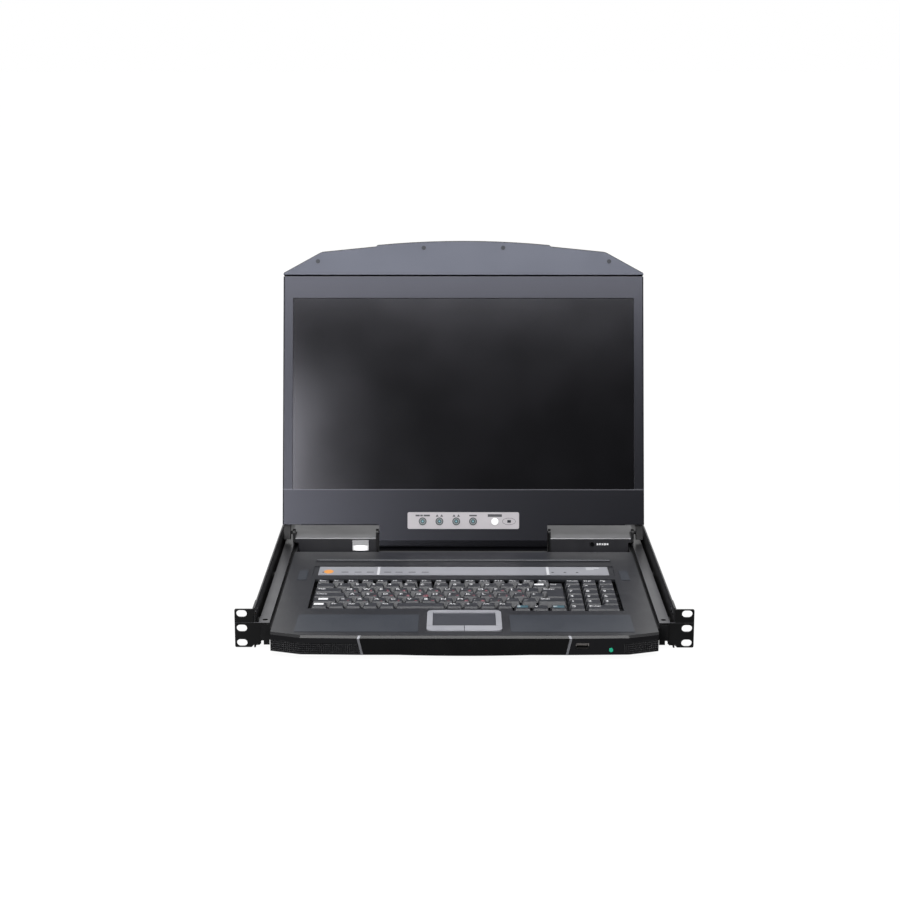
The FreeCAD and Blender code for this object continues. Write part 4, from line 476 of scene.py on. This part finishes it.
def prisms(outlines, low, high):
    """Vertices and faces of upright prisms: each outline, an array of x and y, is copied at two heights,
    closed at both ends and walled round."""
    parts = []
    for outline in outlines:
        size = len(outline)
        ring = np.arange(size)
        after = np.roll(ring, -1)
        walls = np.stack((ring, after, after + size, ring + size), 1)
        points = np.concatenate([np.column_stack((outline, np.full(size, level))) for level in (low, high)])
        parts.append((points, [*walls, ring[::-1], ring + size]))
    return joined(parts)


def oblong(left, right, front, back):
    """Corners of a rectangle."""
    return [(left, front), (right, front), (right, back), (left, back)]


# Each row's body, its legends from left to right, and the second marks from its second cap on. A # is printed
# as a plain white block.
key_print = {
    "function_keys": ("function_row", "Esc F1 F2 F3 F4 F5 F6 F7 F8 F9 F10 F11 F12 Prt Scr Brk", ""),
    "digit_keys": ("digit_row", "` 1 2 3 4 5 6 7 8 9 0 - = # Ins", ""),
    "top_letter_keys": ("top_letter_row", "Tab Q W E R T Y U I O P [ ]", "1 2 3 4 5 6 7 8 9 0 %"),
    "home_letter_keys": ("home_letter_row", "Caps A S D F G H J K L ; ' + Enter", "- + = & @ ~ ^ * ( ) ?"),
    "lower_letter_keys": ("lower_letter_row", "# < Z X C V B N M , . / _ Shift", "! : ; ? + = - % & /"),
    "modifier_and_arrow_keys": ("modifier_row", "# Fn Alt + Alt Alt + Alt Fn < v >", ""),
    "number_pad_keys": ("number_pad", "0 Enter 1 2 3 4 5 6 7 8 9 / * - Num Del Pg", ""),
}
ink_thickness = 0.00006
letter_height = 0.0058
word_height = 0.0042
second_height = 0.0046
tallest_share = 0.55
text_left = 0.0009
text_back = 0.0008
second_left = 0.0046
second_front = 0.0006
block_length = 0.0105
cap_edge = 0.001
shift_inset = 0.0045
for row, (body, line, second) in key_print.items():
    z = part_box(row)[1][2]
    marks = second.split()
    white, red, blocks = [], [], []
    for number, ((left, right, front, back), text) in enumerate(zip(cap_tops(row), line.split())):
        tallest = (back - front) * tallest_share
        height = min(letter_height if len(text) == 1 else word_height, tallest)
        if text == "#":
            inset = shift_inset if row == "lower_letter_keys" else cap_edge
            blocks.append(oblong(left + inset, min(right - cap_edge, left + inset + block_length),
                                 back - tallest, back - cap_edge))
        else:
            white.append((text, left + text_left, back - text_back - height, height, z))
        if 0 < number <= len(marks):
            red.append((marks[number - 1], right - second_left, front + second_front, second_height, z))
    parts = [lettering(white, ink_thickness)]
    if blocks:
        parts.append(prisms(blocks, z - ink_thickness, z + ink_thickness))
    points, faces = joined(parts)
    finish_piece(row + "_legends", points, faces, white_ink, body)
    if red:
        points, faces = lettering(red, ink_thickness)
        finish_piece(row + "_second_legends", points, faces, red_ink, body)

# The two sideways arrow caps, tenth and twelfth in the row, are printed teal but for a strip in front.
arrow_tops = cap_tops("modifier_and_arrow_keys")
arrow_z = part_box("modifier_and_arrow_keys")[1][2]
teal_side = 0.0015
teal_front = 0.0045
teal_foot = arrow_z - 0.00004
teal_top = arrow_z + 0.00002
points, faces = prisms([oblong(left + teal_side, right - teal_side, front + teal_front, back - cap_edge)
                        for left, right, front, back in (arrow_tops[9], arrow_tops[11])], teal_foot, teal_top)
finish_piece("arrow_cap_print", points, faces, teal_ink, "modifier_row")

# ---------------------------------------------------------------- indicator strip, touchpad and its buttons
# The strip, the pad's frame and the two buttons are lacquered ABS, and the pad is etched polyester. The
# strip is printed with an orange mark, dark ticks and dots, two pale dividers and two short pale bars at its
# right end.

# Silver lacquer: pale, cool and even, with a broad sheen.
silver_lacquer, tree, shader, place = start("silver_lacquered_abs", "#a7a8ae", roughness=0.36, metallic=0.35)
grain(tree, shader, place, size=0.5, depth=0.01, tones=("#a0a1a8", "#afb0b6"), blotch=20.0)
dress(silver_lacquer, "indicator_strip", "touchpad_frame", "left_click_button", "right_click_button")

# Etched polyester: dark blue-grey with a silky sheen.
pad_film, tree, shader, place = start("etched_polyester_film", "#303238", roughness=0.4, ior=1.6)
grain(tree, shader, place, size=0.4, depth=0.01, tones=("#2d2f35", "#34363d"), blotch=25.0)
dress(pad_film, "touchpad")

# Screen printing inks on the strip: thin and matt, in orange, dark grey and pale grey.
orange_ink, tree, shader, place = start("orange_print", "#dd9448", roughness=0.45, ior=1.5)
grain(tree, shader, place, size=0.3, depth=0.004, tones=("#d68c40", "#e39c52"), blotch=3.0)
dark_ink, tree, shader, place = start("dark_grey_print", "#3a3a3e", roughness=0.5, ior=1.5)
grain(tree, shader, place, size=0.3, depth=0.004, tones=("#36363a", "#424246"), blotch=3.0)
light_ink, tree, shader, place = start("pale_grey_print", "#cbccd0", roughness=0.45, ior=1.5)
grain(tree, shader, place, size=0.3, depth=0.004, tones=("#c5c6ca", "#d1d2d6"), blotch=3.0)


def oval(x, y, half_width, half_height, sides=20):
    """Points round an ellipse: x goes with the cosine of the turn and y with its sine."""
    turn = np.arange(sides) * 2 * math.pi / sides
    return np.stack((x + half_width * np.cos(turn), y + half_height * np.sin(turn)), 1)


strip_front = strip_low[1]
strip_back = strip_high[1]
strip_top = strip_high[2]
mark_line = strip_front + (strip_back - strip_front) * 0.34
print_foot = strip_top - 0.00005
print_top = strip_top + 0.00006
orange_top = strip_top + 0.00008
orange_x = -0.1546
tick_x = (-0.136, -0.121, -0.107, -0.087, -0.074, -0.059, -0.044)
tick_half = 0.004
tick_front = mark_line - 0.0016
tick_back = mark_line + 0.0006
dot_x = (-0.1605, 0.102, 0.116, 0.130)
dot_radius = 0.0016
divider_x = (-0.0975, 0.0965)
divider_half = 0.0015
divider_gap = 0.0005
bar_left = 0.141

orange_mark = oval(orange_x, mark_line + 0.0015, half_width=0.0055, half_height=0.0075)
points, faces = prisms([orange_mark], print_foot, orange_top)
finish_piece("strip_orange_mark", points, faces, orange_ink, "drawer")

ticks = [oblong(x - tick_half, x + tick_half, tick_front, tick_back) for x in tick_x]
dots = [oval(x, mark_line - 0.001, dot_radius, dot_radius) for x in dot_x]
points, faces = prisms(ticks + dots, print_foot, print_top)
finish_piece("strip_dark_marks", points, faces, dark_ink, "drawer")

dividers = [oblong(x - divider_half, x + divider_half, strip_front + divider_gap, strip_back - divider_gap)
            for x in divider_x]
bars = [oblong(bar_left, bar_left + 0.015, strip_back - 0.006, strip_back - 0.003),
        oblong(bar_left, bar_left + 0.009, strip_back - 0.0115, strip_back - 0.0095)]
points, faces = prisms(dividers + bars, print_foot, print_top)
finish_piece("strip_pale_marks", points, faces, light_ink, "drawer")

# ---------------------------------------------------------------- hinge housings and work lamp
# Folded lids fitted over moulded boxes. The left box carries a lamp over the keys, with a chromed cap over
# its lens, and the right one carries the lamp's button and a row of five printed dashes.

# Satin paint with painted light: dark on the front and sides and light grey on the lid, as light from above
# falls, and a painted highlight paler still along the fold. The lid is told from the rest by its height.
housing_low, housing_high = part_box("left_hinge_housing")
lid_level = housing_high[2] * 1000
fold_highlight_below = 0.75
fold_highlight_half = 0.5
housing_paint, tree, shader, place = start("satin_grey_paint_painted_light", "#232327", roughness=0.45, ior=1.5)
grain(tree, shader, place, size=0.8, depth=0.02, tones=("#212125", "#27272b"), blotch=25.0)
axes = add(tree, "SeparateXYZ", links={0: place})
# Painted light: the lid is painted light grey as the face lit from above.
lid_painted_light = add(tree, "MapRange", {"From Min": lid_level - 0.3, "From Max": lid_level - 0.2},
          {"Value": axes.outputs["Z"]})
overlay(tree, shader, lid_painted_light.outputs[0], "#67676a")
# Painted highlight: a paler line along the fold.
fold_painted_highlight = add(tree, "Math", {"operation": "COMPARE", 1: lid_level - fold_highlight_below, 2: fold_highlight_half},
           {0: axes.outputs["Z"]})
overlay(tree, shader, fold_painted_highlight.outputs[0], "#9c9c9f")
dress(housing_paint, "left_hinge_housing", "right_hinge_housing")

# Chromed cap and lit lens: the upper half is pale and smooth, and the lower half glows white, most of all
# over the middle third of its length.
lamp_low, lamp_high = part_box("work_lamp")
lamp_middle = (lamp_low[0] + lamp_high[0]) / 2 * 1000
lamp_half = (lamp_high[0] - lamp_low[0]) / 2 * 1000
lens_edge = (lamp_low[2] + lamp_high[2]) / 2 * 1000
lens_blur = (lamp_high[2] - lamp_low[2]) * 0.05 * 1000
lens_glow = 1.6
end_glow = 0.12
lamp_lens, tree, shader, place = start("chromed_cap_over_lit_lens", "#b8b8ba", roughness=0.25,
                                       emission_color=linear("#ffffff"))
grain(tree, shader, place, size=1.0, depth=0.01, tones=("#aeaeb0", "#c2c2c4"), blotch=4.0)
axes = add(tree, "SeparateXYZ", links={0: place})
lower = add(tree, "MapRange", {"From Min": lens_edge + lens_blur, "From Max": lens_edge - lens_blur,
                               "To Max": lens_glow}, {"Value": axes.outputs["Z"]})
off_middle = add(tree, "Math", {"operation": "SUBTRACT", 1: lamp_middle}, {0: axes.outputs["X"]})
off_middle = add(tree, "Math", {"operation": "ABSOLUTE"}, {0: off_middle.outputs[0]})
core = add(tree, "MapRange", {"From Min": lamp_half * 0.3, "From Max": lamp_half, "To Min": 1.0,
                              "To Max": end_glow}, {"Value": off_middle.outputs[0]})
lit = add(tree, "Math", {"operation": "MULTIPLY"}, {0: lower.outputs[0], 1: core.outputs[0]})
tree.links.new(lit.outputs[0], shader.inputs["Emission Strength"])
dress(lamp_lens, "work_lamp")

button_low, button_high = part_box("lamp_button")
dashes_left = button_high[0] + 0.003
dashes_level = (button_low[2] + button_high[2]) / 2
dash_pitch = 0.003
dash_length = 0.0022
dash_half_height = 0.0012
dash_thickness = 0.00012
points, faces = prisms([oblong(left, left + dash_length, dashes_level - dash_half_height,
                               dashes_level + dash_half_height)
                        for left in dashes_left + np.arange(5) * dash_pitch], 0, dash_thickness)
points = np.stack((points[:, 0], housing_low[1] - points[:, 2], points[:, 1]), 1)
finish_piece("lamp_button_mark", points, faces, white_ink, "drawer")

# ---------------------------------------------------------------- display
# A painted front bezel over a moulded back, which shows in the seam and as a rim round the handle plate. The
# plate and its four screws are at the top, and the lip under the hinge line is painted darker as shade.

# Soft satin paint: black with a cool, broad sheen. The lip is painted darker as shade and is smoother, and a
# thin sill below the screen has a painted highlight, a grey line. All three are told apart by their height.
lip_shade_full_to = 11.6
lip_shade_ends_at = 12.6
sill_level = 71.2
sill_half = 0.7
display_paint, tree, shader, place = start("soft_satin_paint", "#101012", roughness=0.29, ior=1.5,
                                           specular_tint=linear("#e6e8fb"))
grain(tree, shader, place, size=0.7, depth=0.008, tones=("#0f0f11", "#141416"), blotch=60.0)
axes = add(tree, "SeparateXYZ", links={0: place})
# Painted shade: the lip below the hinge line is painted darker.
lip_painted_shade = add(tree, "MapRange", {"From Min": lip_shade_full_to, "From Max": lip_shade_ends_at, "To Min": 1.0,
                             "To Max": 0.0}, {"Value": axes.outputs["Z"]})
overlay(tree, shader, lip_painted_shade.outputs[0], "#050506")
# Painted highlight: a grey line along the sill below the screen.
sill_painted_highlight = add(tree, "Math", {"operation": "COMPARE", 1: sill_level, 2: sill_half}, {0: axes.outputs["Z"]})
overlay(tree, shader, sill_painted_highlight.outputs[0], "#4e4e52")
matt = add(tree, "MapRange", {"From Min": lip_shade_full_to, "From Max": lip_shade_ends_at, "To Min": 0.2,
                              "To Max": 0.29}, {"Value": axes.outputs["Z"]})
tree.links.new(matt.outputs[0], shader.inputs["Roughness"])
dress(display_paint, "lcd_bezel")

# Moulded ABS: a dull black with hardly any highlight.
back_abs, tree, shader, place = start("moulded_black_abs", "#0c0c0e", roughness=0.5, ior=1.5)
grain(tree, shader, place, size=0.9, depth=0.02, tones=("#0a0a0c", "#101012"), blotch=40.0)
dress(back_abs, "lcd_rear_cover")

# Graphite lacquer: mid grey with the same cool sheen as the bezel's paint.
handle_lacquer, tree, shader, place = start("graphite_lacquer", "#464951", roughness=0.4, ior=1.5,
                                            specular_tint=linear("#e6e8fb"))
grain(tree, shader, place, size=0.6, depth=0.01, tones=("#42454d", "#4b4e57"), blotch=50.0)
dress(handle_lacquer, "lcd_handle")

# Anti-glare panel: near black, and just rough enough to blur what it mirrors into soft bands.
panel_film, tree, shader, place = start("anti_glare_panel", "#0b0b0c", roughness=0.155, ior=1.57,
                                        specular_tint=linear("#efeefa"))
grain(tree, shader, place, size=0.5, depth=0.003, tones=("#0a0a0b", "#0e0e10"), blotch=80.0)
dress(panel_film, "lcd_screen")

# Grey plating on the handle's screws: a little darker than the plate, with a dull glint.
grey_screw, tree, shader, place = start("grey_plated_screws", "#2a2c31", metallic=0.5, roughness=0.5)
grain(tree, shader, place, size=0.5, depth=0.01, tones=("#26282d", "#303238"), blotch=3.0)
dress(grey_screw, "lcd_screws")

# ---------------------------------------------------------------- display buttons
# A lacquered plate let into the lower bezel, with four turned buttons, a moulded power button and a small
# oval window. Dark print above the buttons says what they do, in plain bars and triangles.

# Silver lacquer without much metal in it: light, warm grey and almost matt.
plate_lacquer, tree, shader, place = start("light_silver_lacquer", "#a9a5a9", roughness=0.45, metallic=0.1)
grain(tree, shader, place, size=0.5, depth=0.006, tones=("#a4a0a4", "#afabaf"), blotch=20.0)
dress(plate_lacquer, "osd_plate")

# Satin moulded button: plain white.
white_button, tree, shader, place = start("satin_white_button", "#f2f2f2", roughness=0.35, ior=1.5)
grain(tree, shader, place, size=0.5, depth=0.01, tones=("#ececec", "#f6f6f6"), blotch=4.0)
dress(white_button, "lcd_power_button")

recline = math.radians(14.84)
hinge_y = 0.3128
hinge_z = 0.0183
plate_face = 0.01225
button_level = 0.0133


def hung(points):
    """Turns x, height up the display and lift off its face into the shared frame: the display leans back by
    the recline about the hinge line."""
    x = points[:, 0]
    up = points[:, 1]
    out = points[:, 2] + plate_face
    return np.stack((x, hinge_y + up * math.sin(recline) - out * math.cos(recline),
                     hinge_z + up * math.cos(recline) + out * math.sin(recline)), 1)


button_x = [sum(corner[0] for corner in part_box("osd_button_%d" % number)) / 2 for number in (1, 2, 3, 4)]
power_x = sum(corner[0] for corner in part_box("lcd_power_button")) / 2

# Plated tops turned in rings round a clear teal centre, with painted reflection: bands of dark and pale grey.
# The point is taken into the leaning display's frame, and its x is wrapped at the buttons' spacing.
ring_reach = 4.6
first_x = button_x[0] * 1000
spacing = (button_x[1] - button_x[0]) * 1000
button_with_painted_reflection, tree, shader, place = start("plated_button_teal_centre_painted_reflection", "#5c6b6f", roughness=0.3,
                                           ior=1.5)
hinged = add(tree, "Mapping", {"Location": (0, -hinge_y * 1000, -hinge_z * 1000)}, {"Vector": place})
leaned = add(tree, "Mapping", {"Rotation": (recline, 0, 0)}, {"Vector": hinged.outputs[0]})
axes = add(tree, "SeparateXYZ", links={0: leaned.outputs[0]})
beside = add(tree, "Math", {"operation": "WRAP", 1: first_x + spacing / 2, 2: first_x - spacing / 2},
             {0: axes.outputs["X"]})
beside = add(tree, "Math", {"operation": "SUBTRACT", 1: first_x}, {0: beside.outputs[0]})
above = add(tree, "Math", {"operation": "SUBTRACT", 1: button_level * 1000}, {0: axes.outputs["Z"]})
spot = add(tree, "CombineXYZ", links={0: beside.outputs[0], 1: above.outputs[0]})
radius = add(tree, "VectorMath", {"operation": "LENGTH"}, {0: spot.outputs[0]})
share = add(tree, "MapRange", {"From Min": 0.0, "From Max": ring_reach}, {"Value": radius.outputs["Value"]})
# Painted reflection: the dark and pale grey bands stand in for the light that the turned plating mirrors.
painted_reflection_ramp = add(tree, "ValToRGB", links={0: share.outputs[0]})
stops = painted_reflection_ramp.color_ramp.elements
stops[0].position = 0.0
stops[0].color = linear("#8fb6c0")
stops[1].position = 1.0
stops[1].color = linear("#1d2022")
for position, tint in ((0.22, "#5a8792"), (0.36, "#2c3234"), (0.48, "#3a4042"), (0.62, "#868d8f"),
                       (0.76, "#666c6e"), (0.87, "#25292b")):
    stops.new(position).color = linear(tint)
tree.links.new(painted_reflection_ramp.outputs[0], shader.inputs["Base Color"])
dress(button_with_painted_reflection, "osd_button_1", "osd_button_2", "osd_button_3", "osd_button_4")

# Print on the plate: three bars over the first button, two triangles over the second and the third, and one
# bar each over the fourth and the power button.
triangle_apart = 0.0027
triangle_half = 0.0018
triangle_foot = button_level + 0.0056
triangle_tip = button_level + 0.0085
plate_print_foot = -0.00004
plate_print_top = 0.00008
bar_foot = button_level + 0.0060
bar_top = button_level + 0.0080
plate_marks = [oblong(button_x[0] + offset, button_x[0] + offset + width, bar_foot, bar_top)
               for offset, width in ((-0.0085, 0.005), (-0.0028, 0.003), (0.0012, 0.0075))]
for middle in [x + side * triangle_apart for x in button_x[1:3] for side in (-1, 1)]:
    plate_marks.append([(middle - triangle_half, triangle_foot), (middle + triangle_half, triangle_foot),
                        (middle, triangle_tip)])
for middle, half_width, foot, top in ((button_x[3], 0.0045, 0.0061, 0.0079),
                                      (power_x, 0.0085, 0.0054, 0.0086)):
    plate_marks.append(oblong(middle - half_width, middle + half_width, button_level + foot,
                              button_level + top))
points, faces = prisms(plate_marks, plate_print_foot, plate_print_top)
finish_piece("display_button_print", hung(points), faces, dark_ink, "lcd_module")


def loop(x, y, half_width, half_height, thickness, low, high, sides=32):
    """Closed ring with an oval outline: an outer and an inner ellipse at two heights, walled all round."""
    outer = oval(x, y, half_width, half_height, sides)
    inner = oval(x, y, half_width - thickness, half_height - thickness, sides)
    rings = [np.column_stack((line, np.full(sides, height))) for line, height in
             ((outer, low), (outer, high), (inner, high), (inner, low))]
    here = np.arange(sides)
    after = np.roll(here, -1)
    faces = []
    for ring in range(4):
        other = (ring + 1) % 4
        faces += np.stack((ring * sides + here, ring * sides + after, other * sides + after,
                           other * sides + here), 1).tolist()
    return np.concatenate(rings), faces


# Thin dark rings: the gap round each button, and the outline of the window.
ring_top = 0.0002
window_x = 0.0549
gap_radius = 0.0047
rings = [loop(x, button_level, gap_radius, gap_radius, 0.0005, plate_print_foot, ring_top) for x in button_x]
rings.append(loop(window_x, button_level, half_width=0.0081, half_height=0.0042, thickness=0.0004,
                  low=plate_print_foot, high=ring_top))
points, faces = joined(rings)
finish_piece("display_button_rings", hung(points), faces, dark_ink, "lcd_module")
